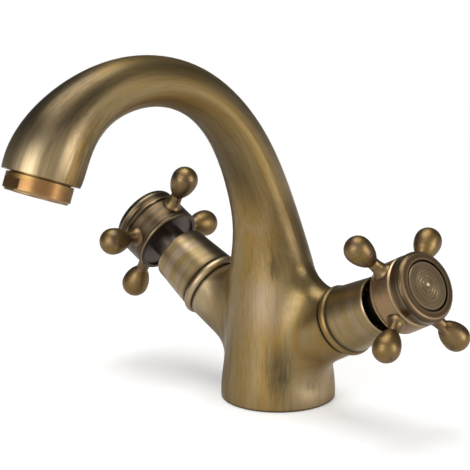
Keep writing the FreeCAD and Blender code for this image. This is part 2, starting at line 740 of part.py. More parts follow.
def make_aerator(document):
    thread = size("aerator_thread_radius")
    top = -size("aerator_thread_length")
    gap = size("aerator_gap")
    bottom = gap + size("aerator_height")
    ring = size("aerator_radius")
    edge = size("aerator_edge")
    lip_top = bottom - size("aerator_lip")
    corner = size("aerator_corner")
    housing = turned(document, "aerator_housing", [
        (size("aerator_bore"), top),
        (size("aerator_bore"), lip_top),
        (size("aerator_lip_bore"), lip_top),
        (size("aerator_lip_bore"), bottom),
        (ring - edge, bottom),
        (ring, bottom - edge, edge, 1),
        (ring, gap + corner),
        (ring - corner, gap),
        (thread, gap),
        (thread, top),
    ])
    flats = new_sketch(housing, "XY_Plane", size("flat_start"), size("flat_turn"))
    beyond = ring * 2
    draw(flats, box_outline(-beyond, size("flat_distance"), beyond, beyond))
    repeat_round(housing, pocket(housing, flats, upwards=True), 2)

    washer_top = top - size("aerator_washer_height")
    washer = turned(document, "aerator_washer", box_outline(
        size("aerator_washer_bore"), washer_top, thread - size("assembly_gap"), top))

    outer = size("aerator_bore") - size("thread_gap")
    inner = outer - size("insert_wall")
    rim = -size("insert_rise")
    plate = size("insert_plate")
    insert = turned(document, "aerator_insert", [
        (ZERO, lip_top - plate),
        (inner, lip_top - plate),
        (inner, rim),
        (outer, rim),
        (outer, lip_top),
        (ZERO, lip_top),
    ])
    perforate(insert, size("jet_radius"), size("jet_ring_step"), lip_top - plate - OVERSHOOT)

    screen_top = rim - size("screen_thickness")
    screen_edge = outer - size("assembly_gap")
    screen = turned(document, "aerator_screen", box_outline(ZERO, screen_top, screen_edge, rim))
    perforate(screen, size("screen_hole"), size("screen_ring_step"), screen_top - OVERSHOOT)
    for piece in (housing, washer, insert, screen):
        place_at_mouth(piece)
    return [housing, washer, insert, screen]


# ---------------------------------------------------------------- one arm's fixed pieces

def make_trim_ring(document, label):
    start = size("arm_end_at")
    bead = start + size("trim_neck")
    end = bead + size("bead_length")
    inner = size("bonnet_hex") / root(as_size(3)) + size("wide_gap")
    return turned(document, label, [
        (inner, start),
        (size("trim_neck_radius"), start),
        (size("trim_neck_radius"), bead),
        (size("bead_edge_radius"), bead),
        (size("bead_edge_radius"), end, size("bead_bend"), 1),
        (inner, end),
    ])


def make_sleeve(document, label):
    start = size("arm_end_at") + size("trim_neck") + size("bead_length")
    end = start + size("sleeve_length")
    neck = end - size("sleeve_lip_length")
    web = size("sleeve_web_at")
    web_end = web + size("sleeve_web")
    wide = size("bonnet_hex") / root(as_size(3)) + size("wide_gap")
    web_bore = size("bonnet_neck_radius") + size("thread_gap")
    edge = size("sleeve_edge")
    slope = (size("sleeve_radius") - size("sleeve_neck_radius")) / (neck - start)
    inner_start = size("sleeve_radius") - slope * (web_end - start) - size("sleeve_wall")
    return turned(document, label, [
        (wide, start),
        (size("sleeve_radius") - edge, start),
        (size("sleeve_radius"), start + edge),
        (size("sleeve_neck_radius"), neck),
        (size("sleeve_lip_radius"), end, size("sleeve_lip_bend"), 1),
        (size("sleeve_lip_radius") - size("sleeve_lip_wall"), end),
        (inner_start, web_end),
        (web_bore, web_end),
        (web_bore, web),
        (wide, web),
    ])


def make_bonnet(document, label):
    """Brass bonnet: windowed basket, lower thread, hexagon, upper thread and nose."""
    basket_end = size("seat_at") + size("basket_rise")
    hex_start = size("arm_end_at") + size("washer_thickness")
    hex_end = hex_start + size("bonnet_hex_height")
    thread = size("bonnet_thread_radius")
    neck = size("bonnet_neck_radius")
    spindle_bore = size("spindle_radius") + size("running_gap")
    bonnet = turned(document, label, [
        (size("basket_bore"), basket_end),
        (size("basket_radius"), basket_end),
        (size("basket_radius"), size("basket_top_at")),
        (thread, size("basket_top_at")),
        (thread, hex_end),
        (neck, hex_end),
        (neck, size("bonnet_nose_at")),
        (size("bonnet_nose_radius"), size("bonnet_nose_at")),
        (size("bonnet_nose_radius"), size("bonnet_top_at")),
        (spindle_bore, size("bonnet_top_at")),
        (spindle_bore, size("basket_bore_top_at")),
        (size("basket_bore"), size("basket_bore_top_at")),
    ])
    hexagon = new_sketch(bonnet, "XY_Plane", hex_start)
    corner_radius = size("bonnet_hex") / root(as_size(3))
    angles = [as_size(60 * corner + 30) for corner in range(6)]
    draw(hexagon, [(corner_radius * cosine(angle), corner_radius * sine(angle)) for angle in angles])
    draw_circle(hexagon, 0, 0, neck)
    pad(bonnet, hexagon, size("bonnet_hex_height"))
    window = new_sketch(bonnet)
    half_width = size("window_width") / 2
    window_start = size("seat_at") + size("seat_seal_height") + size("fixed_disc_height")
    draw(window, box_outline(-half_width, window_start, half_width, window_start + size("window_height")))
    pocket(bonnet, window, both_ways=True)
    return bonnet


def make_bonnet_washer(document, label):
    start = size("arm_end_at")
    inner = size("bonnet_thread_radius") + size("wide_gap")
    end = start + size("washer_thickness")
    return turned(document, label, box_outline(inner, start, inner + size("washer_width"), end))


def make_seat_seal(document, label):
    start = size("seat_at")
    outer = size("basket_bore") - size("assembly_gap")
    end = start + size("seat_seal_height")
    return turned(document, label, box_outline(size("seat_seal_bore"), start, outer, end))


def make_disc(document, label, start, height, ports_along_x):
    """A ceramic disc with two opposite ports."""
    disc = turned(document, label, box_outline(ZERO, start, size("disc_radius"), start + height))
    ports = new_sketch(disc, "XY_Plane", start - OVERSHOOT)
    shift = size("port_shift")
    for side in (1, -1):
        across, along = (shift * side, ZERO) if ports_along_x else (ZERO, shift * side)
        draw_circle(ports, across, along, size("port_radius"))
    pocket(disc, ports, upwards=True)
    return disc


def make_fixed_disc(document, label):
    start = size("seat_at") + size("seat_seal_height")
    return make_disc(document, label, start, size("fixed_disc_height"), True)


# ---------------------------------------------------------------- one handle's turning pieces

def moving_disc_start():
    below = size("seat_at") + size("seat_seal_height") + size("fixed_disc_height")
    return below + size("disc_gap")


def make_moving_disc(document, label):
    start = moving_disc_start()
    height = size("moving_disc_height")
    disc = make_disc(document, label, start, height, False)
    key = new_sketch(disc, "XY_Plane", start + height)
    half_width = size("key_width") / 2
    beyond = size("disc_radius") * 2
    draw(key, box_outline(-half_width, -beyond, half_width, beyond))
    pocket(disc, key, size("key_depth"))
    return disc


def make_spindle(document, label):
    """Spindle: key and driver for the turning disc, O-ring and clip grooves, splines, tapped end."""
    driver_start = moving_disc_start() + size("moving_disc_height") + size("assembly_gap")
    driver_end = driver_start + size("driver_height")
    full = size("spindle_radius")
    groove = size("ring_mid_radius") - size("ring_section") - size("running_gap")
    half_groove = size("ring_section") + size("assembly_gap")
    clip_start = size("bonnet_top_at")
    spline_start = clip_start + size("spline_gap")
    clip_end = clip_start + size("clip_thickness") + size("assembly_gap") * 2
    driver = size("driver_radius")
    outline = [(ZERO, driver_start), (driver, driver_start), (driver, driver_end), (full, driver_end)]
    grooves = [
        (size("first_ring_at") - half_groove, size("first_ring_at") + half_groove, groove),
        (size("second_ring_at") - half_groove, size("second_ring_at") + half_groove, groove),
        (clip_start, clip_end, size("clip_groove_radius") - size("running_gap")),
    ]
    for start, end, floor in grooves:
        outline += [(full, start), (floor, start), (floor, end), (full, end)]
    outline += [(full, spline_start), (ZERO, spline_start)]
    spindle = turned(document, label, outline)
    splines = new_sketch(spindle, "XY_Plane", spline_start)
    teeth = int(size("spline_teeth").number)
    points = []
    for step in range(2 * teeth):
        radius = size("spline_radius") if step % 2 else size("spline_root")
        angle = as_size(180.0 * step / teeth)
        points.append((radius * cosine(angle), radius * sine(angle)))
    draw(splines, points)
    pad(spindle, splines, size("spindle_end_at") - spline_start)
    tapping = new_sketch(spindle, "XY_Plane", size("spindle_end_at"))
    draw_circle(tapping, 0, 0, size("tapping_radius"))
    pocket(spindle, tapping, size("tapping_depth"))
    key_start = driver_start - size("key_depth")
    key = new_sketch(spindle, "XY_Plane", key_start)
    half_width = size("key_width") / 2 - size("running_gap")
    half_length = size("key_length") / 2
    draw(key, box_outline(-half_width, -half_length, half_width, half_length))
    pad(spindle, key, driver_start - key_start)
    return spindle


def make_o_rings(document, label):
    rings = new_body(document, label)
    sketch = new_sketch(rings)
    for alias in ("first_ring_at", "second_ring_at"):
        draw_circle(sketch, size("ring_mid_radius"), size(alias), size("ring_section"))
    revolve(rings, sketch)
    return rings


def make_clip(document, label):
    start = size("bonnet_top_at") + size("assembly_gap")
    end = start + size("clip_thickness")
    section_corners = box_outline(size("clip_groove_radius"), start, size("clip_radius"), end)
    return turned(document, label, section_corners, opening=size("clip_opening"))


def make_adapter(document, label):
    inner = size("spline_radius") + size("running_gap")
    start = size("bonnet_top_at") + size("adapter_gap")
    corners = box_outline(inner, start, size("adapter_radius"), size("spindle_end_at"))
    return turned(document, label, corners)


def floor_start():
    return size("spindle_end_at") + size("floor_gap")


def make_hub(document, label, turn):
    """Handle hub with its neck, screw floor, spigot for the cap ring and four spoke seats."""
    underside = size("hub_at")
    recess = underside + size("hub_recess")
    radius = size("hub_radius")
    line_at = size("hub_line_at")
    line = size("hub_line")
    end = size("hub_end_at")
    chamfer = size("hub_chamfer")
    floor_end = floor_start() + size("floor_thickness")
    adapter_bore = size("adapter_radius") + size("running_gap")
    screw_bore = size("screw_radius") + size("screw_hole_gap")
    spigot_end = end + size("spigot_length")
    neck_end = size("bonnet_top_at") + size("neck_gap")
    hub = turned(document, label, [
        (adapter_bore, neck_end),
        (size("neck_radius"), neck_end),
        (size("neck_radius"), recess),
        (size("hub_recess_radius"), recess),
        (size("hub_recess_radius"), underside),
        (size("hub_rim_radius"), underside),
        (radius, underside + size("hub_rim_round"), size("hub_rim_round"), 1),
        (radius, line_at - line),
        (radius - line, line_at),
        (radius, line_at + line),
        (radius, end - chamfer),
        (radius - chamfer, end),
        (size("spigot_radius"), end),
        (size("spigot_radius"), spigot_end),
        (size("access_radius"), spigot_end),
        (size("access_radius"), floor_end),
        (screw_bore, floor_end),
        (screw_bore, floor_start()),
        (adapter_bore, floor_start()),
    ])
    seat = new_sketch(hub, "XY_Plane", size("spoke_at"), turn)
    stud_bore = size("spoke_stud_radius") + size("thread_gap")
    seat_bore = size("spoke_foot_radius") + size("spoke_seat_gap")
    floor = size("spoke_foot_start")
    bottom = size("spoke_stud_start") - size("wide_gap")
    beyond = radius + size("spoke_seat_reach")
    draw(seat, [
        (bottom, ZERO),
        (beyond, ZERO),
        (beyond, seat_bore),
        (floor, seat_bore),
        (floor, stud_bore),
        (bottom, stud_bore),
    ])
    repeat_round(hub, revolve(hub, seat, "Groove", "H_Axis"), 4)
    return hub


def make_spokes(document, label, turn):
    """Four turned spokes: stud, foot, flare, neck and ball, each a separate solid."""
    spokes = new_body(document, label)
    outline = new_sketch(spokes, "XY_Plane", size("spoke_at"), turn)
    neck = size("spoke_neck_radius")
    foot = size("spoke_foot_radius")
    ball, centre = size("ball_radius"), size("ball_shift")
    flare, blend = size("spoke_flare"), size("ball_blend")
    step = foot - neck
    flare_end = size("spoke_foot_end") + root(step * flare * 2 - step * step)
    reach = ball + blend
    rise = neck + blend
    blend_start = centre - root(reach * reach - rise * rise)
    touch_across = centre - (centre - blend_start) * ball / reach
    touch_rise = rise * ball / reach
    draw(outline, [
        (size("spoke_stud_start"), ZERO),
        (centre + ball, ZERO),
        (touch_across, touch_rise, ball, 1),
        (blend_start, neck, blend, -1),
        (flare_end, neck),
        (size("spoke_foot_end"), foot, flare, -1),
        (size("spoke_foot_start"), foot),
        (size("spoke_foot_start"), size("spoke_stud_radius")),
        (size("spoke_stud_start"), size("spoke_stud_radius")),
    ])
    repeat_round(spokes, revolve(spokes, outline, axis="H_Axis"), 4)
    return spokes


def make_cap_ring(document, label):
    start = size("hub_end_at")
    radius = size("cap_radius")
    chamfer = size("cap_chamfer")
    bore = size("spigot_radius") + size("thread_gap")
    ledge = size("cap_ledge_at")
    ledge_start = ledge - size("cap_ledge")
    edge = size("cap_edge_at")
    face = size("cap_face_at")
    rim_end = face - size("cap_bevel_height")
    waist = (start + chamfer + edge) / 2
    return turned(document, label, [
        (bore, start),
        (radius - chamfer, start),
        (radius, start + chamfer),
        (radius - size("cap_waist"), waist),
        (radius, edge),
        (size("cap_rim_radius"), rim_end, size("cap_rim_bend"), 1),
        (size("cap_rim_radius") - size("cap_bevel_width"), face),
        (size("pocket_radius"), face),
        (size("pocket_radius"), ledge),
        (size("cap_ledge_bore"), ledge),
        (size("cap_ledge_bore"), ledge_start),
        (bore, ledge_start),
    ])


def make_index_disc(document, label):
    """Plain disc in the cap's pocket, its face turned with fine rings and a central dimple."""
    start = size("cap_ledge_at")
    face = start + size("index_height")
    flange = size("pocket_radius") - size("thread_gap")
    flange_end = start + size("index_flange")
    raised = size("index_radius")
    bevel = size("index_bevel")
    depth = size("index_ring_depth")
    outline = [
        (ZERO, start),
        (flange, start),
        (flange, flange_end),
        (raised, flange_end),
        (raised, face - bevel),
        (raised - bevel, face),
    ]
    for ring in range(3):
        outer = size("index_outer_ring") - size("index_ring_step") * ring
        outline += [(outer + depth, face), (outer, face - depth), (outer - depth, face)]
    outline += [(size("dimple_radius"), face), (ZERO, face - size("dimple_depth"))]
    return turned(document, label, outline)


def make_screw(document, label):
    """Handle screw with a slotted cheese head."""
    seat = floor_start() + size("floor_thickness")
    top = seat + size("screw_head_height")
    screw = turned(document, label, [
        (ZERO, seat - size("screw_length")),
        (size("screw_radius"), seat - size("screw_length")),
        (size("screw_radius"), seat),
        (size("screw_head_radius"), seat),
        (size("screw_head_radius"), top),
        (ZERO, top),
    ])
    slot = new_sketch(screw, "XY_Plane", top)
    half_width = size("screw_slot") / 2
    beyond = size("screw_head_radius") * 2
    draw(slot, box_outline(-beyond, -half_width, beyond, half_width))
    pocket(screw, slot, size("screw_slot_depth"))
    return screw


def make_side(document, name, side):
    """Every piece of the hot or the cold side."""
    turn = size(name + "_turn")
    pieces = [
        make_trim_ring(document, "trim_ring_" + name),
        make_sleeve(document, "valve_sleeve_" + name),
        make_bonnet(document, "valve_bonnet_" + name),
        make_bonnet_washer(document, "bonnet_washer_" + name),
        make_seat_seal(document, "seat_seal_" + name),
        make_fixed_disc(document, "fixed_disc_" + name),
        make_moving_disc(document, "moving_disc_" + name),
        make_spindle(document, "spindle_" + name),
        make_o_rings(document, "spindle_o_rings_" + name),
        make_clip(document, "spindle_clip_" + name),
        make_adapter(document, "spline_adapter_" + name),
        make_hub(document, "handle_hub_" + name, turn),
        make_spokes(document, "handle_spokes_" + name, turn),
        make_cap_ring(document, "cap_ring_" + name),
        make_index_disc(document, "index_disc_" + name),
        make_screw(document, "handle_screw_" + name),
    ]
    for piece in pieces:
        place_on_arm(piece, side)
    return pieces


# ---------------------------------------------------------------- checks and export

def check(document, pieces):
    """Stop if a feature failed, a cut removed nothing, or a piece has no sound shape."""
    for item in document.Objects:
        if "Invalid" in item.State or "Error" in item.State:
            raise RuntimeError("%s failed: %s" % (item.Name, item.State))
        if item.TypeId in ("PartDesign::Pocket", "PartDesign::Groove"):
            if item.Shape.Volume > item.BaseFeature.Shape.Volume - 0.01:
                raise RuntimeError("%s cut nothing" % item.Name)
    for piece in pieces:
        if piece.Shape.isNull() or not piece.Shape.isValid():
            raise RuntimeError("%s has no sound shape" % piece.Label)


def main():
    document = FreeCAD.newDocument("CrossHandleTap")
    write_sheet(document)
    pieces = [make_tap_body(document), make_base_seal(document)]
    pieces += make_aerator(document)
    pieces += make_side(document, "cold", 1)
    pieces += make_side(document, "hot", -1)
    document.recompute()
    check(document, pieces)
    os.makedirs("parts", exist_ok=True)
    for piece in pieces:
        piece.Shape.exportStep("parts/%s.step" % piece.Label)
        print("%-22s solids %d volume %.1f" % (piece.Label, len(piece.Shape.Solids), piece.Shape.Volume))


main()
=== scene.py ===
"""Swan-neck basin mixer with two cross handles, in brushed antique brass: finishes, spokes and stage."""
import math

import bpy
import numpy as np
from mathutils import Matrix, Vector


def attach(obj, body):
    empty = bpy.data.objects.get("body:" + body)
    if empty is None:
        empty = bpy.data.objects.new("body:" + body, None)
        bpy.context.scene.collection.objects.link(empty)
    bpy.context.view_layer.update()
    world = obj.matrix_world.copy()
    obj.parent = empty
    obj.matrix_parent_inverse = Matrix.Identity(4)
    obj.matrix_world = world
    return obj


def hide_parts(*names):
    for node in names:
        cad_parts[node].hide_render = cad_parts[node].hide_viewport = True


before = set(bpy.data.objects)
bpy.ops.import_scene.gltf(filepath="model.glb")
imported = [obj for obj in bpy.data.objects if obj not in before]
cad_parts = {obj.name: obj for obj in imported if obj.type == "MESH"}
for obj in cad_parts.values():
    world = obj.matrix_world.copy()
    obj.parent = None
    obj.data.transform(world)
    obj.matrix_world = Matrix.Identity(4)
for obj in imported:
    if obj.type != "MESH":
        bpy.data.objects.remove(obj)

bl_info = {
    "name": "Cross Handle Basin Mixer",
    "version": (1, 0, 0),
    "blender": (4, 5, 0),
    "location": "3D View > Sidebar > Basin Mixer",
    "description": "Finishes a swan-neck basin mixer with two cross handles and lights it",
    "category": "Object",
}

SIDES = {"cold": 1, "hot": -1}

# The casting, in mm and degrees in the tap's frame
ARM_ROOT = 20.2          # height where the two handle axes meet
ARM_LEAN = 28.6          # lean of each handle axis above level
RISER_SHIFT = 3.0        # riser's shift towards the spout
RISER_HEIGHT = 43.5      # where the riser starts to bend
BENDS = ((133.0, 33.3), (68.6, 75.3), (45.0, 48.8))   # radius and turn of each bend
GRIME = (16.0, -16.5, 17.0)      # middle of the dark patch under the cold arm
RUBBED = (23.5, -3.0, 8.5)       # middle of the scratched, brighter patch beside it
CREASE = (28.5, -11.0, 56.0)     # middle of the dark crease on top of the cold arm's root, patina and painted shade
CHEST_HIGHLIGHT = (8.0, -18.5, 46.0)       # middle of the painted rosy highlight where the riser meets the foot
RIDGE_HIGHLIGHT = ((11.0, 104.0), (16.3, 55.8))   # (x, z) of both ends of the painted highlight line down the riser

# Places along a handle axis, in mm from where the two axes meet
UNDERCUT = 41.4          # between arm and bead
ARM_END = 41.0
BEAD_END = 45.8
SLEEVE_START = 46.2
SLEEVE_LIP = 66.0
HUB_UNDERSIDE = 73.9
HUB_RIM = 74.6
HUB_LINE = 75.7          # fine turned line round the hub
SPOKE_PLANE = 80.5
HUB_END = 85.0
CAP_START = 85.4
CAP_EDGE = 89.7          # between the cap ring's side and its rounded rim
CAP_FACE = 92.0

# Sizes round a handle axis, in mm and degrees
FIRST_SPOKE = {"cold": 38.2, "hot": 3.8}
HUB_RADIUS = 15.0
HUB_RECESS = 13.2        # radius of the recess in the hub's underside
SLEEVE_BORE = 11.2
POCKET = 10.75           # radius of the cap ring's pocket for the index disc
DISC_EDGE = 10.0         # radius where the index disc's face ends
NECK = 2.55              # half width of a spoke's neck
FLARE = 1.75             # what a spoke's foot adds to it at the hub
FADE = 1.25              # distance over which that falls to 1/e
SADDLE = 3.0             # height over which a spoke's foot straightens from the hub's curve
BALL = 5.75              # radius of a spoke's ball
BALL_AT = 29.05          # middle of the ball from the handle axis
EGG = 8.4                # length of the ball's inner half

# The aerator, in mm outwards from the spout's mouth
AERATOR_GAP = 0.6
AERATOR_HEIGHT = 6.9

# Shares of patina, and in SLEEVE_SHADE of painted shade on the sleeves' tops; all but the spokes' differ
# between the two sides
BEAD_AGE = {"cold": 0.15, "hot": 0.0}
BEAD_GRIME = {"cold": 0.3, "hot": 0.1}
HUB_AGE = {"cold": 0.0, "hot": 0.97}
CAP_AGE = {"cold": 0.0, "hot": 0.7}
SLEEVE_SHADE = {"cold": 0.15, "hot": 1.0}
SPOKE_AGE = 0.38

# Painted shade: colours in the sleeves' bores and in the hubs' recesses
SLEEVE_BORE_SHADE = (0.012, 0.010, 0.008)
HUB_RECESS_SHADE = (0.110, 0.085, 0.072)

# The stage, in metres; lamps are placed right of the point looked at, towards the camera and up
FLOOR_REACH = 6.0
FLOOR_FADE = (150.0, 420.0)      # mm, where the floor starts to turn white to the camera and where it is
KEY_PLACE = (-0.70, 0.85, 0.42)
RIM_PLACE = (0.95, 0.48, 0.18)
TOP_PLACE = (-0.10, -0.15, 1.05)
ROOM_SPAN = (-0.40, 0.95)        # how far the darkest and brightest directions face the camera's side
ROOM_COLOUR = (1.0, 0.99, 0.975)


def spout_bends():
    """Each bend's centre (y, z), radius and start angle, tangent to the bend before it."""
    bends = []
    angle = 0.0
    radius = BENDS[0][0]
    across, height = -(RISER_SHIFT + radius), RISER_HEIGHT
    for next_radius, turn in BENDS:
        across += (radius - next_radius) * math.cos(math.radians(angle))
        height += (radius - next_radius) * math.sin(math.radians(angle))
        radius = next_radius
        bends.append((across, height, radius, angle))
        angle += turn
    return bends, angle


def mouth_place():
    """Y and z of the spout's mouth, and the turn of its axis from straight up in degrees."""
    bends, angle = spout_bends()
    across, height, radius, _ = bends[-1]
    turn = math.radians(angle)
    return across + radius * math.cos(turn), height + radius * math.sin(turn), angle


# ---------------------------------------------------------------- settings

def colour_setting(name, description, default):
    """A colour that the panel can change."""
    return bpy.props.FloatVectorProperty(
        name=name, description=description, default=default, size=3, min=0, max=1, subtype="COLOR")


def number_setting(name, description, default, **more):
    """A number that the panel can change."""
    return bpy.props.FloatProperty(name=name, description=description, default=default, **more)


class BrassSettings(bpy.types.PropertyGroup):
    """Colours and grain of the metal that shows."""
    brass: colour_setting("Brass", "Brushed brass in full light", (0.295, 0.212, 0.092))
    brass_warm: colour_setting("Warm brass", "Brass with thin, golden patina", (0.295, 0.187, 0.060))
    # The next colour also paints highlights and sheen on the casting, edges, disc and aerator, besides the
    # pale strokes
    brass_pale: colour_setting("Rubbed brass", "Brass rubbed bright", (0.46, 0.355, 0.215))
    rosy: colour_setting("Rosy brass", "Greyer, rosier clouds in the brass", (0.325, 0.234, 0.142))
    # The next colour also paints the rosy highlight where the riser meets the foot
    rosy_pale: colour_setting("Rubbed rosy brass", "Rosy brass rubbed bright", (0.375, 0.285, 0.195))
    # The next colour also paints shade in creases, grooves, gaps, bores and on shaded sides
    patina: colour_setting("Patina", "Dark patina left in creases and strokes", (0.060, 0.046, 0.028))
    copper: colour_setting("Hub", "Darker, redder brass of the hubs and cap rings", (0.310, 0.200, 0.104))
    copper_dark: colour_setting("Dark hub", "Hub and cap where the patina is thick", (0.118, 0.071, 0.034))
    # The next colour paints the highlights on the cap rings' rim and lip
    copper_highlight: colour_setting("Rubbed hub", "Edges of the hubs rubbed bright", (0.38, 0.27, 0.17))
    disc: colour_setting("Index disc", "Satin face of the index discs", (0.200, 0.138, 0.077))
    ring: colour_setting("Aerator", "Shinier copper tone of the aerator", (0.27, 0.140, 0.055))
    gloss: number_setting(
        "Roughness", "Roughness of the brushed brass", 0.37, min=0.05, max=1.0, subtype="FACTOR")
    stroke_width: number_setting(
        "Stroke width", "Width of one brush stroke in millimetres", 0.42, min=0.1, max=5.0)
    stroke_depth: number_setting(
        "Stroke depth", "Depth of the brush strokes in millimetres", 0.008, min=0.0, max=0.2)


class StageSettings(bpy.types.PropertyGroup):
    """Floor, background, lamps and camera."""
    floor: colour_setting("Floor", "Colour of the floor", (0.83, 0.83, 0.83))
    backdrop: number_setting(
        "Background", "Strength of the white background to the camera",
        1.0, min=0.0, max=1.0, subtype="FACTOR")
    reflected: number_setting(
        "Background in reflections", "Share of the white background that the metal shows",
        0.08, min=0.0, max=1.0, subtype="FACTOR")
    floor_lift: number_setting("Floor lift", "How much the floor is lightened to the camera", 0.30, min=0.0)
    room_front: number_setting("Room in front", "Light of the room on the camera's side", 0.80, min=0.0)
    room_back: number_setting("Room behind", "Light of the room behind the tap", 0.03, min=0.0)
    room_rise: number_setting("Room's tilt", "How far the room's light shifts upwards", -0.05)
    key_power: number_setting("Key lamp", "Power of the large lamp on the left", 7.2, unit="POWER")
    rim_power: number_setting("Rim lamp", "Power of the tall lamp on the right", 6.0, unit="POWER")
    top_power: number_setting("Top lamp", "Power of the lamp overhead", 8.0, unit="POWER")
    azimuth: number_setting(
        "Camera azimuth", "Turn of the camera round the tap",
        math.radians(42.85), subtype="ANGLE", unit="ROTATION")
    elevation: number_setting(
        "Camera elevation", "Height angle of the camera",
        math.radians(15.63), subtype="ANGLE", unit="ROTATION")
    distance: number_setting(
        "Camera distance", "Distance from the point looked at", 1.0624, subtype="DISTANCE", unit="LENGTH")
    target_height: number_setting(
        "Point looked at", "Its height above the basin", 0.060, subtype="DISTANCE", unit="LENGTH")
    lens: number_setting("Lens", "Focal length in millimetres", 194.4)
    shift_across: number_setting("Shift across", "Camera shift that frames the tap", -0.0919)
    shift_up: number_setting("Shift up", "Camera shift that frames the tap", 0.0508)


# ---------------------------------------------------------------- building nodes

class Nodes:
    """A node tree being put together."""

    def __init__(self, tree):
        self.tree = tree
        self.column = 0
        tree.nodes.clear()

    def node(self, kind):
        item = self.tree.nodes.new(kind)
        item.location = (-250 - 180 * (self.column % 12), 300 - 220 * (self.column // 12))
        self.column += 1
        return item

    def put(self, socket, value):
        if isinstance(value, bpy.types.NodeSocket):
            self.tree.links.new(value, socket)
        elif hasattr(socket.default_value, "__len__") and not hasattr(value, "__len__"):
            socket.default_value = [value] * len(socket.default_value)
        elif hasattr(socket.default_value, "__len__") and len(socket.default_value) == 4 and len(value) == 3:
            socket.default_value = (*value, 1)
        else:
            socket.default_value = value

    def split(self, vector):
        item = self.node("ShaderNodeSeparateXYZ")
        self.put(item.inputs[0], vector)
        return item.outputs[0], item.outputs[1], item.outputs[2]

    def join(self, x, y, z):
        item = self.node("ShaderNodeCombineXYZ")
        for socket, value in zip(item.inputs, (x, y, z)):
            self.put(socket, value)
        return item.outputs[0]

    def maths(self, operation, first, second=None, third=None):
        item = self.node("ShaderNodeMath")
        item.operation = operation
        for socket, value in zip(item.inputs, (first, second, third)):
            if value is not None:
                self.put(socket, value)
        return item.outputs[0]

    def add(self, first, second):
        return self.maths("ADD", first, second)

    def take(self, first, second):
        return self.maths("SUBTRACT", first, second)

    def times(self, first, second):
        return self.maths("MULTIPLY", first, second)

    def product(self, first, *others):
        for other in others:
            first = self.times(first, other)
        return first

    def length(self, first, second):
        """Length of the hypotenuse."""
        square = self.maths("MULTIPLY_ADD", first, first, self.times(second, second))
        return self.maths("SQRT", square)

    def spread(self, value, low, high, start=0.0, end=1.0):
        """Smooth ramp: start below low, end above high."""
        item = self.node("ShaderNodeMapRange")
        item.interpolation_type = "SMOOTHSTEP"
        for name, number in (("From Min", low), ("From Max", high), ("To Min", start), ("To Max", end)):
            item.inputs[name].default_value = number
        self.put(item.inputs["Value"], value)
        return item.outputs[0]

    def band(self, value, centre, half, strength=1.0):
        """Strength at the centre, falling to nothing half a band's width away."""
        off = self.maths("ABSOLUTE", self.take(value, centre))
        return self.spread(off, 0.0, half, strength, 0.0)

    def noise(self, vector, scale=1.0, detail=2.0, roughness=0.5, distortion=0.0):
        item = self.node("ShaderNodeTexNoise")
        self.put(item.inputs["Vector"], vector)
        for name, number in (("Scale", scale), ("Detail", detail), ("Roughness", roughness),
                             ("Distortion", distortion)):
            item.inputs[name].default_value = number
        return item.outputs["Fac"]

    def mix(self, share, first, second):
        item = self.node("ShaderNodeMix")
        item.data_type = "RGBA"
        self.put(item.inputs[0], share)
        self.put(item.inputs[6], first)
        self.put(item.inputs[7], second)
        return item.outputs[2]

    def choose(self, test, first, second):
        """First where test is 0 and second where it is 1."""
        item = self.node("ShaderNodeMix")
        item.data_type = "FLOAT"
        self.put(item.inputs[0], test)
        self.put(item.inputs[2], first)
        self.put(item.inputs[3], second)
        return item.outputs[0]

    def blend(self, share, first, second):
        """Shader node that is first where the share is 0 and second where it is 1."""
        item = self.node("ShaderNodeMixShader")
        for socket, value in zip(item.inputs, (share, first.outputs[0], second.outputs[0])):
            self.put(socket, value)
        return item

    def seen(self, reflected):
        """1 to the camera and through glass, and a share to reflections."""
        path = self.node("ShaderNodeLightPath")
        direct = self.maths("MAXIMUM", path.outputs["Is Camera Ray"], path.outputs["Is Transmission Ray"])
        return self.maths("MAXIMUM", direct, self.times(path.outputs["Is Glossy Ray"], reflected))


class Finish(Nodes):
    """A material being put together. Lengths in its node maths are millimetres."""

    def __init__(self, name, metallic, roughness, colour=(0.5, 0.5, 0.5)):
        self.material = bpy.data.materials.new(name)
        self.material.use_nodes = True
        super().__init__(self.material.node_tree)
        self.output = self.node("ShaderNodeOutputMaterial")
        self.shader = self.node("ShaderNodeBsdfPrincipled")
        self.put(self.output.inputs["Surface"], self.shader.outputs["BSDF"])
        self.put(self.shader.inputs["Metallic"], metallic)
        self.put(self.shader.inputs["Roughness"], roughness)
        self.put(self.shader.inputs["Base Color"], colour)

    def place(self, location=(0, 0, 0), rotation=(0, 0, 0)):
        """Object coordinates seen from a local frame: location in mm, rotation in degrees."""
        coordinates = self.node("ShaderNodeTexCoord")
        mapping = self.node("ShaderNodeMapping")
        mapping.vector_type = "TEXTURE"
        mapping.inputs["Location"].default_value = [value / 1000 for value in location]
        mapping.inputs["Rotation"].default_value = [math.radians(value) for value in rotation]
        mapping.inputs["Scale"].default_value = (0.001, 0.001, 0.001)
        self.tree.links.new(coordinates.outputs["Object"], mapping.inputs["Vector"])
        return mapping.outputs["Vector"]

    def bump(self, height, depth):
        """Depth is the height in metres that a change of 1 stands for."""
        item = self.node("ShaderNodeBump")
        item.inputs["Strength"].default_value = 1.0
        item.inputs["Distance"].default_value = depth
        self.put(item.inputs["Height"], height)
        self.tree.links.new(item.outputs["Normal"], self.shader.inputs["Normal"])

    def finish(self, colour, roughness=None):
        self.put(self.shader.inputs["Base Color"], colour)
        if roughness is not None:
            self.put(self.shader.inputs["Roughness"], roughness)
        return self.material


def dress(name, material):
    """Give a CAD node one material in all its slots."""
    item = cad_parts[name]
    if not item.data.materials:
        item.data.materials.append(material)
    for index in range(len(item.data.materials)):
        item.data.materials[index] = material


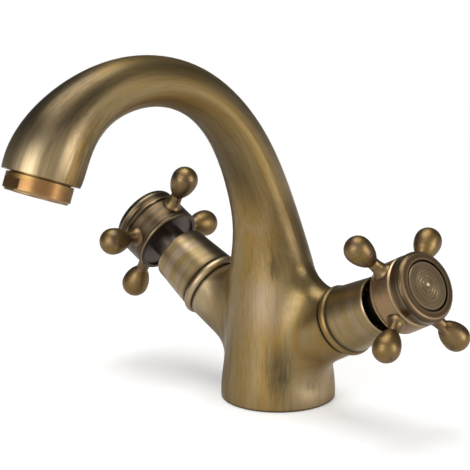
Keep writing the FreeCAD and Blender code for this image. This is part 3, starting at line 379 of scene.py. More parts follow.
def arm_frame(side):
    """Location in mm and rotation in degrees of the frame whose Z runs out along a handle axis."""
    return (0, 0, ARM_ROOT), (0, SIDES[side] * (90 - ARM_LEAN), 0)


def above_axis(build, reach, z):
    """Height in mm above the handle axis, at a reach out from the middle of the tap."""
    axis = build.maths("MULTIPLY_ADD", reach, math.tan(math.radians(ARM_LEAN)), ARM_ROOT)
    return build.take(z, axis)


def turned_grain(build, x, y, z, width, wander=0.6):
    """Radius, and fine and broad rings round the axis, as a lathe and a polishing cloth leave them.

    The rings are width mm across and stray by wander of a ring round the turn.
    """
    radius = build.length(x, y)
    safe = build.maths("MAXIMUM", radius, 0.01)
    cosine, sine = build.maths("DIVIDE", x, safe), build.maths("DIVIDE", y, safe)
    across = build.add(build.times(radius, 1 / width), build.times(cosine, wander))
    along = build.add(build.times(z, 1 / width), build.times(sine, wander))
    fine = build.noise(build.join(across, along, cosine), 1.0, 3.0, 0.6)
    broad = build.noise(build.join(build.times(radius, 0.35), build.times(z, 0.35), sine), 1.0, 2.0, 0.5)
    return radius, fine, broad


# ---------------------------------------------------------------- finishes

class Casting(Finish):
    """Brushed brass whose strokes run up the foot and riser and along the swan neck.

    Ramps over x, y, z, reach and offset are in mm, and those over the noises in shares.
    """

    def __init__(self, brass):
        super().__init__("brushed_casting", 1.0, brass.gloss)
        self.brass = brass
        self.x, self.y, self.z = self.split(self.place())
        self.reach = self.maths("ABSOLUTE", self.x)
        self.offset = self.offset_from_centre_line()
        self.along = self.take(self.z, self.y)
        wander = self.noise(self.stretched(0.05, 0.03), 1.0, 2.0, 0.5)
        self.lean = self.times(self.take(wander, 0.5), 2.2)
        self.fine = self.strokes(brass.stroke_width, 45.0, 3.0)
        self.streak = self.strokes(1.5, 110.0, 2.0)
        self.stripe = self.strokes(4.5, 160.0, 2.0)
        self.cloud = self.noise(self.stretched(0.07, 0.035), 1.0, 3.0, 0.6, 0.5)
        self.on_riser = self.spread(self.reach, 17.0, 25.0, 1.0, 0.35)
        self.colour = self.mix(self.spread(self.stripe, 0.36, 0.64), brass.brass, brass.brass_warm)

    def offset_from_centre_line(self):
        """Distance in mm outside the centre line of riser and neck, in the plane of the spout."""
        offset = self.add(self.y, RISER_SHIFT)
        for across, height, radius, start in spout_bends()[0]:
            from_y, from_z = self.take(self.y, across), self.take(self.z, height)
            bent = self.take(self.length(from_y, from_z), radius)
            angle = math.radians(start)
            past = self.add(self.times(from_z, math.cos(angle)), self.times(from_y, -math.sin(angle)))
            offset = self.choose(self.maths("GREATER_THAN", past, 0.0), offset, bent)
        return offset

    def stretched(self, across, along):
        """Coordinates with so many steps per mm across the strokes and along them."""
        return self.join(self.times(self.x, across), self.times(self.offset, across),
                         self.times(self.along, along))

    def strokes(self, width, length, detail):
        """Noise drawn out into brush strokes, width and length in mm."""
        side, out = self.add(self.x, self.lean), self.add(self.offset, self.lean)
        return self.noise(self.join(self.times(side, 1 / width), self.times(out, 1 / width),
                                    self.times(self.along, 1 / length)), 1.0, detail, 0.6)

    def apart(self, place, squash=(1, 1, 1)):
        """Distance in mm from a place, with the distance along an axis times its squash."""
        x, y, z = (self.take(value, at) if by == 1 else self.times(self.take(value, at), by)
                   for value, at, by in zip((self.x, self.y, self.z), place, squash))
        return self.length(self.length(x, y), z)

    def mark(self, tone, *shares):
        """Lay a tone over the colour, as far as the product of the shares says, and return that product."""
        share = self.product(*shares)
        self.colour = self.mix(share, self.colour, tone)
        return share

    def brush(self):
        """Rosy clouds, and dark and pale strokes that are fainter on the arms."""
        brass = self.brass
        self.mark(brass.rosy, self.spread(self.cloud, 0.50, 0.74, 0.0, 0.50))
        self.mark(brass.patina, self.spread(self.streak, 0.48, 0.76, 0.0, 0.26), self.on_riser)
        self.mark(brass.patina, self.spread(self.fine, 0.52, 0.74, 0.0, 0.30), self.on_riser)
        self.mark(brass.brass_pale, self.spread(self.fine, 0.26, 0.46, 0.22, 0.0), self.on_riser)

    def paint_neck_shade_and_highlight(self):
        """Painted shade on the inside of the swan neck's bend and a painted highlight on its outside."""
        # Painted shade on the inner side of the bend
        inside = self.spread(self.offset, -11.0, -2.0, 0.75, 0.0)
        self.mark(self.brass.patina, inside, self.spread(self.z, 76.0, 104.0),
                  self.spread(self.z, 128.0, 150.0, 1.0, 0.0),
                  self.spread(self.stripe, 0.30, 0.60, 0.75, 1.0))
        # Painted highlight on the outer side of the bend
        outside = self.spread(self.offset, 0.0, 6.0, 0.0, 0.95)
        self.mark(self.brass.brass_pale, outside, self.spread(self.z, 76.0, 92.0),
                  self.spread(self.z, 132.0, 152.0, 1.0, 0.0), self.spread(self.stripe, 0.30, 0.60))

    def paint_chest_highlight_and_far_arm(self):
        """A painted rosy highlight where the riser meets the foot, and the paler hot arm."""
        # Painted highlight, rosy, where the riser meets the foot
        chest = self.spread(self.apart(CHEST_HIGHLIGHT), 3.0, 17.0, 0.75, 0.0)
        self.mark(self.brass.rosy_pale, chest, self.spread(self.streak, 0.32, 0.58, 0.4, 1.0))
        far_arm = self.spread(self.x, -31.0, -17.0, 0.95, 0.0)
        self.mark(self.brass.brass_pale, far_arm, self.spread(self.cloud, 0.35, 0.60, 1.0, 0.6))

    def line_riser(self):
        """A faint painted highlight line down the riser's front, and a scraped dark one beside its lower end.
        """
        (top_x, top_z), (low_x, low_z) = RIDGE_HIGHLIGHT
        slope = (top_x - low_x) / (top_z - low_z)
        aside = self.take(self.x, self.maths("MULTIPLY_ADD", self.z, slope, low_x - slope * low_z))
        front = self.product(self.spread(self.offset, -4.0, 3.0, 1.0, 0.0),
                             self.spread(self.z, low_z - 2, low_z + 3))
        # Painted highlight along the line
        self.mark(self.brass.brass_pale, self.band(aside, 0.0, 1.9, 0.18), front,
                  self.spread(self.z, 84.0, top_z, 1.0, 0.0))
        self.mark(self.brass.patina, self.band(aside, -4.0, 3.4, 0.6), front,
                  self.spread(self.z, 64.0, 76.0, 1.0, 0.0), self.spread(self.streak, 0.36, 0.56))

    def paint_shade_and_crease_patina(self):
        """Painted shade over the arms' roots and down the riser's cold side, and patina with painted shade in
        the cold arm's crease.
        """
        # Painted shade on the arm's top beside the riser
        over_arm = self.spread(above_axis(self, self.reach, self.z), 10.5, 15.0, 0.0, 0.25)
        beside_riser = self.spread(self.reach, 15.0, 20.0)
        self.mark(self.brass.patina, over_arm, beside_riser, self.spread(self.z, 57.0, 67.0, 1.0, 0.0))
        # Patina and painted shade in the cold arm's crease
        crease = self.spread(self.apart(CREASE, (0.55, 1, 1)), 2.0, 8.5, 0.85, 0.0)
        self.mark(self.brass.patina, crease, self.spread(self.streak, 0.30, 0.56, 0.7, 1.0))
        # Painted shade down the riser's cold side
        cold_side = self.product(self.spread(self.x, 9.0, 14.0), self.spread(self.z, 52.0, 66.0),
                                 self.spread(self.z, 84.0, 96.0, 0.45, 0.0))
        self.mark(self.brass.patina, cold_side, self.spread(self.stripe, 0.30, 0.60, 0.6, 1.0))

    def darken_spout(self):
        """Patina on top of the neck's outer end, and streaks down to the mouth."""
        top = self.product(self.spread(self.offset, -2.0, 7.0, 0.0, 0.80),
                           self.spread(self.y, -114.0, -90.0, 1.0, 0.0),
                           self.spread(self.z, 124.0, 144.0, 0.12, 1.0))
        self.mark(self.brass.patina, top, self.spread(self.stripe, 0.30, 0.62, 0.8, 1.0))
        self.mark(self.brass.patina, self.spread(self.y, -122.0, -98.0, 0.35, 0.0),
                  self.spread(self.streak, 0.36, 0.66))

    def wear_and_shade_foot(self):
        """Painted shade on the hot side, a dark patch, and scratches and brushed metal beside it; returns the
        scratches.
        """
        # Painted shade on the foot's hot side
        hot_side = self.spread(self.x, -16.0, 3.0, 0.5, 0.0)
        self.mark(self.brass.patina, hot_side, self.spread(self.z, 26.0, 42.0, 1.0, 0.0),
                  self.spread(self.stripe, 0.30, 0.60, 0.5, 1.0))
        grime = self.spread(self.apart(GRIME, (1, 1, 0.50)), 0.5, 8.5, 0.85, 0.0)
        self.mark(self.brass.patina, grime, self.spread(self.fine, 0.34, 0.60, 0.55, 1.0))
        scratch = self.noise(self.join(self.times(self.x, 0.10), self.times(self.y, 0.10),
                                       self.times(self.z, 2.2)), 1.0, 2.0, 0.6)
        rubbed = self.apart(RUBBED)
        scratched = self.mark(self.brass.brass_pale, self.spread(rubbed, 5.0, 15.0, 0.30, 0.0),
                              self.spread(scratch, 0.48, 0.66))
        self.mark(self.brass.brass_pale, self.spread(rubbed, 5.0, 14.0, 0.75, 0.0),
                  self.spread(self.fine, 0.36, 0.56, 0.4, 1.0))
        return scratched

    def paint_edge_shade(self):
        """Painted shade: dark lines where the foot meets the basin and at the end of each arm."""
        # Painted shadow along the foot's lower edge
        self.mark(self.brass.patina, self.spread(self.z, 0.5, 1.5, 0.85, 0.0))
        # Painted shade in the seam at each arm's end
        lean = math.radians(ARM_LEAN)
        out = self.add(self.times(self.reach, math.cos(lean)),
                       self.times(self.take(self.z, ARM_ROOT), math.sin(lean)))
        self.mark(self.brass.patina, self.band(out, ARM_END, 1.2, 0.85), self.spread(self.reach, 26.0, 28.0))


def casting_finish(brass):
    """The casting's marks from the lowest layer to the topmost, then its gloss and relief."""
    build = Casting(brass)
    build.brush()
    build.paint_neck_shade_and_highlight()
    build.paint_chest_highlight_and_far_arm()
    build.line_riser()
    build.paint_shade_and_crease_patina()
    build.darken_spout()
    scratched = build.wear_and_shade_foot()
    build.paint_edge_shade()
    rough = build.add(build.spread(build.fine, 0.3, 0.7, -0.04, 0.08), brass.gloss)
    strokes = build.times(build.add(build.fine, build.times(build.streak, 0.5)), build.on_riser)
    build.bump(build.add(strokes, build.times(scratched, 0.6)), brass.stroke_depth / 1000)
    return build.finish(build.colour, rough)


def turned_brass(name, side, brass, light, dark, edges=(), width=0.55, roughness=0.33,
                 depth=0.008, grime=0.35, shades=(), age=0.0):
    """Turned brass on a handle axis: rings round it, painted highlights and painted shade along the axis.

    edges are painted highlights and shades painted shade, each (distance along the axis, half width,
    strength) in mm; age is the share of patina.
    """
    build = Finish("%s_%s" % (name, side), 1.0, roughness)
    x, y, z = build.split(build.place(*arm_frame(side)))
    radius, fine, broad = turned_grain(build, x, y, z, width)
    colour = build.mix(build.spread(broad, 0.35, 0.68), light, dark)
    colour = build.mix(build.spread(fine, 0.48, 0.74, 0.0, grime), colour, brass.patina)
    colour = build.mix(build.spread(fine, 0.26, 0.46, grime * 0.8, 0.0), colour, brass.brass_pale)
    if age:
        colour = build.mix(build.spread(broad, 0.30, 0.62, age * 0.75, age), colour, brass.patina)
    # Painted shade in grooves and gaps, then painted highlights on edges
    for centre, half, strength in shades:
        colour = build.mix(build.band(z, centre, half, strength), colour, brass.patina)
    for centre, half, strength in edges:
        colour = build.mix(build.band(z, centre, half, strength), colour, brass.brass_pale)
    rough = build.add(build.spread(fine, 0.3, 0.7, -0.04, 0.10), roughness)
    build.bump(build.add(fine, build.times(broad, 0.4)), depth / 1000)
    return build, radius, z, colour, rough


def sleeve_finish(side, brass):
    """Brushed sleeve with painted shade on top, at its inner end and black inside, and a painted highlight at
    its lip.
    """
    build, radius, _, colour, rough = turned_brass(
        "brushed_sleeve", side, brass, brass.brass, brass.rosy if side == "cold" else brass.rosy_pale,
        width=0.5, edges=((SLEEVE_LIP, 0.7, 0.7),), shades=((SLEEVE_START, 1.6, 0.85),), grime=0.28)
    world_x, world_y, world_z = build.split(build.place())
    # Painted shade on the sleeve's top and back, full on the hot side
    above = above_axis(build, build.times(world_x, SIDES[side]), world_z)
    shaded = build.spread(build.maths("MULTIPLY_ADD", world_y, 0.6, above), 3.0, 15.0, 0.0, 0.75)
    colour = build.mix(build.times(shaded, SLEEVE_SHADE[side]), colour, brass.patina)
    # Painted shade, near black, in the bore
    inside = build.spread(radius, SLEEVE_BORE, SLEEVE_BORE + 0.5, 1.0, 0.0)
    colour = build.mix(inside, colour, SLEEVE_BORE_SHADE)
    return build.finish(colour, rough)


def trim_finish(side, brass):
    """Polished bead with painted shade lines at both edges, paler on the hot side."""
    light, dark = (brass.brass, brass.brass_warm) if side == "cold" else (brass.brass_pale, brass.rosy)
    build, _, _, colour, rough = turned_brass(
        "polished_bead", side, brass, light, dark, width=0.4, roughness=0.36,
        shades=((UNDERCUT, 0.9, 1.0), (BEAD_END, 0.8, 0.95)), age=BEAD_AGE[side], grime=BEAD_GRIME[side])
    return build.finish(colour, rough)


def hub_finish(side, brass):
    """Dark hub with painted highlights on its edges, and painted shade in a fine line, under it, in its
    recess and on the spigot under the cap ring.
    """
    build, radius, z, colour, rough = turned_brass(
        "dark_hub", side, brass, brass.copper, brass.copper, width=0.45, roughness=0.36, age=HUB_AGE[side],
        edges=((HUB_END, 0.35, 0.9), (HUB_RIM, 0.5, 0.35)),
        shades=((HUB_LINE, 0.28, 0.9), (HUB_UNDERSIDE, 0.5, 0.8)))
    # Painted shade in the recess under the hub
    inside = build.times(build.spread(radius, HUB_RECESS, HUB_RECESS + 0.5, 1.0, 0.0),
                         build.spread(z, 75.2, 75.6, 1.0, 0.0))
    colour = build.mix(inside, colour, HUB_RECESS_SHADE)
    # Painted shade on the spigot in the gap under the cap ring
    spigot = build.times(build.spread(radius, 13.6, 14.2, 1.0, 0.0), build.spread(z, HUB_END, HUB_END + 0.2))
    colour = build.mix(spigot, colour, brass.patina)
    return build.finish(colour, rough)


def cap_finish(side, brass):
    """Dark cap ring, redder on its face, with painted highlights in rings on it and painted shade in the
    pocket round the disc.
    """
    build, radius, z, colour, rough = turned_brass(
        "dark_cap", side, brass, brass.copper_dark, brass.patina, width=0.45, roughness=0.33,
        age=CAP_AGE[side], edges=((86.3, 0.35, 0.5), (CAP_EDGE, 0.5, 0.5)), shades=((CAP_START, 0.5, 0.95),))
    colour = build.mix(build.spread(z, CAP_FACE - 0.6, CAP_FACE - 0.1, 0.0, 0.35), colour, brass.copper)
    # Painted highlights on the face's rim and lip
    on_face = build.spread(z, CAP_FACE - 0.4, CAP_FACE)
    rim = build.times(build.band(radius, 13.6, 0.5, 0.8), on_face)
    colour = build.mix(rim, colour, brass.copper_highlight)
    lip = build.times(build.band(radius, 11.35, 0.35, 0.7), on_face)
    colour = build.mix(lip, colour, brass.copper_highlight)
    # Painted shade in the pocket round the disc
    pocket = build.spread(radius, POCKET, POCKET + 0.25, 1.0, 0.0)
    colour = build.mix(pocket, colour, brass.patina)
    return build.finish(colour, rough)


def disc_finish(side, brass):
    """Satin face with rings, a painted fan of sheen and a painted highlight about its centre, and painted
    shade at its rim.
    """
    build, radius, _, colour, rough = turned_brass(
        "satin_index_disc", side, brass, brass.disc, brass.disc, width=0.42, roughness=0.36, grime=0.3)
    broad = build.noise(build.join(build.times(radius, 0.9), 0.0, 0.0), 1.0, 2.0, 0.5)
    colour = build.mix(build.spread(broad, 0.42, 0.66, 0.0, 0.35), colour, brass.brass_pale)
    # Painted sheen in a fan about the centre
    turned_x, turned_y, _ = build.split(build.place(*arm_frame(side)))
    leaning = build.add(turned_x, build.times(turned_y, 0.5))
    leaning = build.maths("ABSOLUTE", build.maths("DIVIDE", leaning, build.maths("MAXIMUM", radius, 0.2)))
    fan = build.product(build.spread(leaning, 0.35, 1.05, 0.0, 0.40), build.spread(radius, 0.8, 2.4),
                        build.spread(radius, 3.0, 9.0, 1.0, 0.3))
    colour = build.mix(fan, colour, brass.brass_pale)
    # Painted highlight at the centre, and painted shade at the rim
    colour = build.mix(build.spread(radius, 0.3, 2.2, 0.5, 0.0), colour, brass.brass_pale)
    colour = build.mix(build.spread(radius, DISC_EDGE, DISC_EDGE + 0.2), colour, brass.patina)
    return build.finish(colour, rough)


def spoke_finish(side, brass):
    """Turned spokes and balls: golden brown, with fine tool lines across each spoke and painted shade at
    their roots.
    """
    build = Finish("turned_spokes_%s" % side, 1.0, brass.gloss)
    x, y, z = build.split(build.place(*arm_frame(side)))
    first = math.radians(FIRST_SPOKE[side])
    turned_x = build.add(build.times(x, math.cos(first)), build.times(y, math.sin(first)))
    turned_y = build.add(build.times(x, -math.sin(first)), build.times(y, math.cos(first)))
    out = build.maths("MAXIMUM", build.maths("ABSOLUTE", turned_x), build.maths("ABSOLUTE", turned_y))
    lines = build.noise(build.join(build.times(out, 2.4), build.times(x, 0.08), build.times(z, 0.08)),
                        1.0, 3.0, 0.6)
    cloud = build.noise(build.join(build.times(x, 0.16), build.times(y, 0.16), build.times(z, 0.16)),
                        1.0, 3.0, 0.55, 0.5)
    colour = build.mix(build.spread(cloud, 0.38, 0.60), brass.brass_warm, brass.copper)
    colour = build.mix(build.spread(cloud, 0.48, 0.68, 0.0, 0.55), colour, brass.patina)
    colour = build.mix(build.spread(lines, 0.50, 0.72, 0.0, 0.35), colour, brass.patina)
    colour = build.mix(build.spread(lines, 0.28, 0.46, 0.25, 0.0), colour, brass.brass_pale)
    foot = build.spread(out, HUB_RADIUS + 1.5, HUB_RADIUS + 5.5, 0.55, 0.0)
    colour = build.mix(foot, colour, brass.copper)
    # Painted shade where each spoke meets the hub
    root = build.spread(out, HUB_RADIUS - 0.4, HUB_RADIUS + 0.6, 0.85, 0.0)
    colour = build.mix(root, colour, brass.patina)
    colour = build.mix(SPOKE_AGE, colour, brass.patina)
    rough = build.add(build.spread(lines, 0.3, 0.7, -0.04, 0.08), brass.gloss + 0.03)
    build.bump(lines, 0.008 / 1000)
    return build.finish(colour, rough)


def aerator_finish(brass, roughness=0.34):
    """Coppery turned ring, with painted shade in the gap under the spout and a painted highlight at its lower
    edge.
    """
    build = Finish("polished_aerator", 1.0, roughness)
    across, height, turn = mouth_place()
    x, y, z = build.split(build.place((0, across, height), (turn, 0, 0)))
    _, fine, broad = turned_grain(build, x, y, z, 0.4)
    colour = build.mix(build.spread(broad, 0.35, 0.65), brass.ring, brass.brass_warm)
    colour = build.mix(build.spread(fine, 0.5, 0.74, 0.0, 0.35), colour, brass.patina)
    # Painted shade in the gap, then a painted highlight at the lower edge
    colour = build.mix(build.band(z, AERATOR_GAP, 0.5, 0.85), colour, brass.patina)
    colour = build.mix(build.band(z, AERATOR_HEIGHT, 0.7, 0.5), colour, brass.brass_pale)
    build.bump(fine, 0.006 / 1000)
    return build.finish(colour, build.add(build.spread(fine, 0.3, 0.7, -0.04, 0.08), roughness))


def grained(name, metallic, roughness, light, dark, grain, depth):
    """A plain material in a cloud of two tones, grain per mm, with a matching relief depth mm deep."""
    build = Finish(name, metallic, roughness)
    cloud = build.noise(build.place(), grain, 3.0, 0.6)
    colour = build.mix(build.spread(cloud, 0.32, 0.68), light, dark)
    build.bump(cloud, depth / 1000)
    return build.finish(colour, build.spread(cloud, 0.3, 0.7, roughness - 0.05, roughness + 0.08))


# ---------------------------------------------------------------- surfaces

def skin(points, first):
    """Vertices and faces of a closed surface, as rings of points; the first and last ring are one point each.

    first is the number of vertices that come before it in the mesh.
    """
    rings, around, _ = points.shape
    vertices = np.vstack([points[0, :1], points[1:-1].reshape(-1, 3), points[-1, :1]])
    index = first + 1 + np.arange((rings - 2) * around).reshape(rings - 2, around)
    after = np.roll(index, -1, axis=1)
    quads = np.stack([index[:-1], after[:-1], after[1:], index[1:]], axis=-1).reshape(-1, 4)
    start = np.stack([np.full(around, first), after[0], index[0]], axis=-1)
    end = np.stack([np.full(around, first + len(vertices) - 1), index[-1], after[-1]], axis=-1)
    return vertices, start.tolist() + quads.tolist() + end.tolist()


def spoke_outline(steps=90):
    """Distances s from the handle axis and half widths of one spoke, both in mm.

    egg = BALL * sqrt(1 - ((s - BALL_AT) / half)^2), half being EGG inside the ball's middle and BALL outside
    neck = (NECK + FLARE * exp(-(s - HUB_RADIUS) / FADE)) * (1 - p^2 * (3 - 2 p)), p running from 0 at the
    ball's inner end to 1 at its middle
    half width = cube root of (neck^3 + egg^3)
    """
    share = np.linspace(0, 1, steps)
    inward = HUB_RADIUS + (BALL_AT - HUB_RADIUS) * share
    outward = BALL_AT + BALL * np.sin(share * math.pi / 2)
    distance = np.concatenate([inward, outward[1:]])
    half = np.where(distance < BALL_AT, EGG, BALL)
    egg = BALL * np.sqrt(np.clip(1 - ((distance - BALL_AT) / half) ** 2, 0, 1))
    past = np.clip((distance - (BALL_AT - EGG)) / EGG, 0, 1)
    neck = (NECK + FLARE * np.exp(-(distance - HUB_RADIUS) / FADE)) * (1 - past ** 2 * (3 - 2 * past))
    return distance, np.cbrt(neck ** 3 + egg ** 3)


def spoke_piece(side, around=72, rings=8, clear=0.03):
    """Four turned spokes in one mesh: each is (s, w cos a, w sin a) in mm, a from 0 to 360 degrees.

    s runs out from the handle axis, w is the half width there, and w sin a runs along the handle axis from
    SPOKE_PLANE. The foot's underside lies clear mm over the hub, so s gets sqrt((HUB_RADIUS + clear)^2
    - (w cos a)^2) - HUB_RADIUS, which fades out over SADDLE mm. Each spoke is a quarter turn from the last.
    """
    distance, width = spoke_outline()
    base = np.linspace(0, width[0], rings)[:-1]
    width = np.concatenate([base, width])
    distance = np.concatenate([np.full(len(base), HUB_RADIUS), distance])
    angle = np.linspace(0, 2 * math.pi, around, endpoint=False)
    lateral = width[:, None] * np.cos(angle)
    above = width[:, None] * np.sin(angle)
    saddle = np.sqrt((HUB_RADIUS + clear) ** 2 - lateral ** 2) - HUB_RADIUS
    weight = np.clip(1 - (distance - HUB_RADIUS) / SADDLE, 0, 1) ** 2
    along = distance[:, None] + saddle * weight[:, None]
    turn = Matrix.Rotation(math.radians(SIDES[side] * (90 - ARM_LEAN)), 3, "Y")
    vertices, faces = [], []
    for number in range(4):
        heading = math.radians(FIRST_SPOKE[side] + 90 * number)
        out = np.array([math.cos(heading), math.sin(heading), 0])
        beside = np.array([-math.sin(heading), math.cos(heading), 0])
        points = (along[..., None] * out + lateral[..., None] * beside
                  + (above + SPOKE_PLANE)[..., None] * np.array([0, 0, 1]))
        points = (points @ np.array(turn).T + np.array([0, 0, ARM_ROOT])) / 1000
        more, joined = skin(points, sum(len(part) for part in vertices))
        vertices.append(more)
        faces += joined
    mesh = bpy.data.meshes.new("spokes_" + side)
    mesh.from_pydata(np.vstack(vertices).tolist(), [], faces)
    mesh.polygons.foreach_set("use_smooth", [True] * len(mesh.polygons))
    return bpy.data.objects.new("spokes_" + side, mesh)


# ---------------------------------------------------------------- operators

class TAP_OT_casting(bpy.types.Operator):
    """Brush the casting: foot, arms, riser and swan neck"""
    bl_idname = "tap.casting"
    bl_label = "Casting"

    def execute(self, context):
        dress("tap_body", casting_finish(context.scene.tap_brass))
        return {"FINISHED"}


class TAP_OT_arms(bpy.types.Operator):
    """Finish the beads and sleeves between the casting and the handles"""
    bl_idname = "tap.arms"
    bl_label = "Beads and sleeves"

    def execute(self, context):
        brass = context.scene.tap_brass
        for side in SIDES:
            dress("trim_ring_" + side, trim_finish(side, brass))
            dress("valve_sleeve_" + side, sleeve_finish(side, brass))
        return {"FINISHED"}


class TAP_OT_spokes(bpy.types.Operator):
    """Shape and finish the eight spokes with their flared feet and egg-shaped balls"""
    bl_idname = "tap.spokes"
    bl_label = "Spokes"

    def execute(self, context):
        brass = context.scene.tap_brass
        for side in SIDES:
            piece = spoke_piece(side)
            piece.data.materials.append(spoke_finish(side, brass))
            context.scene.collection.objects.link(piece)
            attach(piece, side + "_handle")
            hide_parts("handle_spokes_" + side)
        return {"FINISHED"}


class TAP_OT_handles(bpy.types.Operator):
    """Finish the hubs, cap rings and index discs"""
    bl_idname = "tap.handles"
    bl_label = "Cross handles"

    def execute(self, context):
        brass = context.scene.tap_brass
        for side in SIDES:
            dress("handle_hub_" + side, hub_finish(side, brass))
            dress("cap_ring_" + side, cap_finish(side, brass))
            dress("index_disc_" + side, disc_finish(side, brass))
        return {"FINISHED"}


class TAP_OT_aerator(bpy.types.Operator):
    """Finish the aerator's ring, insert and screen"""
    bl_idname = "tap.aerator"
    bl_label = "Aerator"

    def execute(self, context):
        dress("aerator_housing", aerator_finish(context.scene.tap_brass))
        plastic = grained("aerator_plastic", metallic=0.0, roughness=0.42, light=(0.32, 0.33, 0.34),
                          dark=(0.25, 0.26, 0.27), grain=1.6, depth=0.01)
        mesh = grained("woven_steel", metallic=1.0, roughness=0.34, light=(0.55, 0.55, 0.54),
                       dark=(0.32, 0.32, 0.32), grain=3.5, depth=0.02)
        dress("aerator_insert", plastic)
        dress("aerator_screen", mesh)
        return {"FINISHED"}


class TAP_OT_inner_parts(bpy.types.Operator):
    """Finish the valves, screws, seals and washers inside the tap and under its foot"""
    bl_idname = "tap.inner_parts"
    bl_label = "Valves and seals"

    def execute(self, context):
        machined = grained("machined_brass", metallic=1.0, roughness=0.32, light=(0.55, 0.40, 0.16),
                           dark=(0.44, 0.31, 0.12), grain=1.4, depth=0.006)
        steel = grained("stainless_steel", metallic=1.0, roughness=0.3, light=(0.56, 0.56, 0.55),
                        dark=(0.44, 0.44, 0.43), grain=2.2, depth=0.005)
        ceramic = grained("white_ceramic", metallic=0.0, roughness=0.14, light=(0.86, 0.85, 0.82),
                          dark=(0.78, 0.77, 0.74), grain=0.8, depth=0.001)
        rubber = grained("black_rubber", metallic=0.0, roughness=0.62, light=(0.018, 0.018, 0.018),
                         dark=(0.032, 0.031, 0.030), grain=2.6, depth=0.02)
        fibre = grained("red_fibre", metallic=0.0, roughness=0.75, light=(0.33, 0.06, 0.035),
                        dark=(0.22, 0.04, 0.025), grain=3.0, depth=0.03)
        dress("base_seal", rubber)
        dress("aerator_washer", rubber)
        for material, names in ((machined, ("valve_bonnet", "spindle", "spline_adapter")),
                                (steel, ("spindle_clip", "handle_screw")),
                                (ceramic, ("fixed_disc", "moving_disc")),
                                (rubber, ("seat_seal", "spindle_o_rings")),
                                (fibre, ("bonnet_washer",))):
            for name in names:
                for side in SIDES:
                    dress(name + "_" + side, material)
        return {"FINISHED"}


def floor_surface(name, reach, rings=48, around=96):
    """Level floor round the tap: radius reach * t^2 and angle 360 deg * u, for t and u from 0 to 1."""
    share = np.linspace(0, 1, rings + 1)[1:]
    turn = np.linspace(0, 2 * math.pi, around, endpoint=False)
    radius = reach * share ** 2
    ring = np.stack([np.cos(turn), np.sin(turn), np.zeros(around)], axis=1)
    points = np.vstack([np.zeros((1, 3)), (radius[:, None, None] * ring[None]).reshape(-1, 3)])
    index = 1 + np.arange(rings * around).reshape(rings, around)
    after = np.roll(index, -1, axis=1)
    quads = np.stack([index[:-1], index[1:], after[1:], after[:-1]], axis=-1).reshape(-1, 4)
    middle = np.stack([np.zeros(around, int), index[0], after[0]], axis=-1)
    mesh = bpy.data.meshes.new(name)
    mesh.from_pydata(points.tolist(), [], middle.tolist() + quads.tolist())
    return bpy.data.objects.new(name, mesh)


def lamp(name, place, aim, power, wide, tall):
    """A soft rectangular lamp at a place, facing a point, wide and tall in metres."""
    light = bpy.data.lights.new(name, "AREA")
    light.shape = "RECTANGLE"
    light.size = wide
    light.size_y = tall
    light.energy = power
    item = bpy.data.objects.new(name, light)
    item.location = place
    item.rotation_euler = (aim - place).to_track_quat("-Z", "Y").to_euler()
    bpy.context.scene.collection.objects.link(item)


def camera_axes(stage):
    """Directions to the camera, to its right and its up, for the photograph's view."""
    back = Vector((math.sin(stage.azimuth) * math.cos(stage.elevation),
                   -math.cos(stage.azimuth) * math.cos(stage.elevation), math.sin(stage.elevation)))
    right = Vector((math.cos(stage.azimuth), math.sin(stage.azimuth), 0))
    return back, right, back.cross(right)


def floor_finish(stage):
    """Pale floor that keeps the tap's shadow and fades into the white background further out."""
    build = Finish("pale_floor", 0.0, 0.9, tuple(stage.floor))
    point = build.place()
    grain = build.noise(point, 0.4, 2.0, 0.5)
    pale = tuple(stage.floor)
    colour = build.mix(build.spread(grain, 0.3, 0.7), pale, tuple(0.985 * value for value in pale))
    build.put(build.shader.inputs["Specular IOR Level"], 0.1)
    build.finish(colour)
    x, y, _ = build.split(point)
    far = build.spread(build.length(x, y), *FLOOR_FADE)
    seen = build.seen(stage.reflected)
    lift = build.node("ShaderNodeEmission")
    build.put(lift.inputs["Strength"], stage.floor_lift)
    lifted = build.node("ShaderNodeAddShader")
    build.put(lifted.inputs[0], build.shader.outputs[0])
    build.put(lifted.inputs[1], lift.outputs[0])
    white = build.node("ShaderNodeEmission")
    build.put(white.inputs["Strength"], stage.backdrop)
    near = build.blend(seen, build.shader, lifted)
    whole = build.blend(build.times(far, seen), near, white)
    build.put(build.output.inputs["Surface"], whole.outputs[0])
    return build.material


def studio_world(stage):
    """White background to the camera; a soft grey room gives the light and most of the reflections."""
    world = bpy.data.worlds.new("pale_studio")
    world.use_nodes = True
    build = Nodes(world.node_tree)
    facing = build.node("ShaderNodeVectorMath")
    facing.operation = "DOT_PRODUCT"
    build.put(facing.inputs[0], build.node("ShaderNodeTexCoord").outputs["Generated"])
    build.put(facing.inputs[1], (math.sin(stage.azimuth), -math.cos(stage.azimuth), stage.room_rise))
    level = build.spread(facing.outputs["Value"], *ROOM_SPAN, stage.room_back, stage.room_front)
    room = build.node("ShaderNodeBackground")
    build.put(room.inputs["Color"], ROOM_COLOUR)
    build.put(room.inputs["Strength"], level)
    white = build.node("ShaderNodeBackground")
    build.put(white.inputs["Color"], (1, 1, 1))
    build.put(white.inputs["Strength"], stage.backdrop)
    output = build.node("ShaderNodeOutputWorld")
    build.put(output.inputs["Surface"], build.blend(build.seen(stage.reflected), room, white).outputs[0])
    bpy.context.scene.world = world


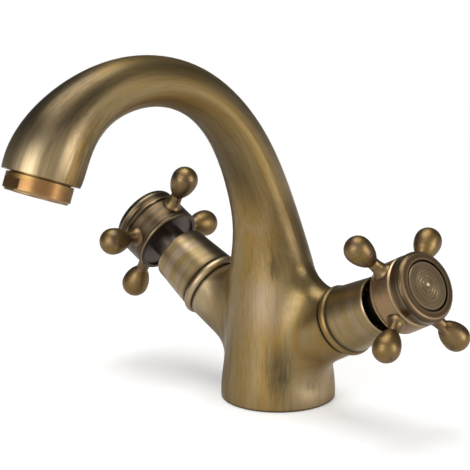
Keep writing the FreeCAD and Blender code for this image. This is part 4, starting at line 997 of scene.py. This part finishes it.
class TAP_OT_stage(bpy.types.Operator):
    """Set up the floor, backdrop, lamps and the photograph's camera"""
    bl_idname = "tap.stage"
    bl_label = "Stage"

    def execute(self, context):
        scene = context.scene
        stage = scene.tap_stage
        back, right, up = camera_axes(stage)
        target = Vector((0, 0, stage.target_height))

        floor = floor_surface("floor", FLOOR_REACH)
        floor.data.materials.append(floor_finish(stage))
        scene.collection.objects.link(floor)

        towards = Vector((back.x, back.y, 0)).normalized()

        def from_target(place):
            return target + right * place[0] + towards * place[1] + Vector((0, 0, place[2]))

        lamp("key_lamp", from_target(KEY_PLACE), target, stage.key_power, wide=0.75, tall=0.9)
        lamp("rim_lamp", from_target(RIM_PLACE), target, stage.rim_power, wide=0.40, tall=0.8)
        lamp("top_lamp", from_target(TOP_PLACE), target, stage.top_power, wide=0.8, tall=0.8)

        camera = bpy.data.cameras.new("camera")
        camera.sensor_width = 36
        camera.lens = stage.lens
        camera.shift_x = stage.shift_across
        camera.shift_y = stage.shift_up
        camera.clip_start, camera.clip_end = 0.05, 20
        item = bpy.data.objects.new("camera", camera)
        item.matrix_world = Matrix.Translation(target + back * stage.distance) @ Matrix(
            (right, up, back)).transposed().to_4x4()
        scene.collection.objects.link(item)
        scene.camera = item
        studio_world(stage)
        scene.view_settings.view_transform = "Standard"
        return {"FINISHED"}


class TAP_PT_panel(bpy.types.Panel):
    """Steps and settings of the basin mixer"""
    bl_idname = "TAP_PT_panel"
    bl_label = "Basin Mixer"
    bl_space_type = "VIEW_3D"
    bl_region_type = "UI"
    bl_category = "Basin Mixer"

    def draw(self, context):
        layout = self.layout
        for operator in OPERATORS:
            layout.operator(operator.bl_idname)
        for settings in (context.scene.tap_brass, context.scene.tap_stage):
            column = layout.column(align=True)
            for name in settings.__annotations__:
                column.prop(settings, name)


OPERATORS = (TAP_OT_casting, TAP_OT_arms, TAP_OT_handles, TAP_OT_spokes, TAP_OT_aerator,
             TAP_OT_inner_parts, TAP_OT_stage)
CLASSES = (BrassSettings, StageSettings, *OPERATORS, TAP_PT_panel)


def register():
    for item in CLASSES:
        bpy.utils.register_class(item)
    bpy.types.Scene.tap_brass = bpy.props.PointerProperty(type=BrassSettings)
    bpy.types.Scene.tap_stage = bpy.props.PointerProperty(type=StageSettings)


def unregister():
    del bpy.types.Scene.tap_stage
    del bpy.types.Scene.tap_brass
    for item in reversed(CLASSES):
        bpy.utils.unregister_class(item)


def main():
    register()
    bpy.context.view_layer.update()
    bpy.ops.tap.casting()
    bpy.ops.tap.arms()
    bpy.ops.tap.handles()
    bpy.ops.tap.spokes()
    bpy.ops.tap.aerator()
    bpy.ops.tap.inner_parts()
    bpy.ops.tap.stage()
    bpy.context.view_layer.update()


if __name__ == "__main__":
    main()
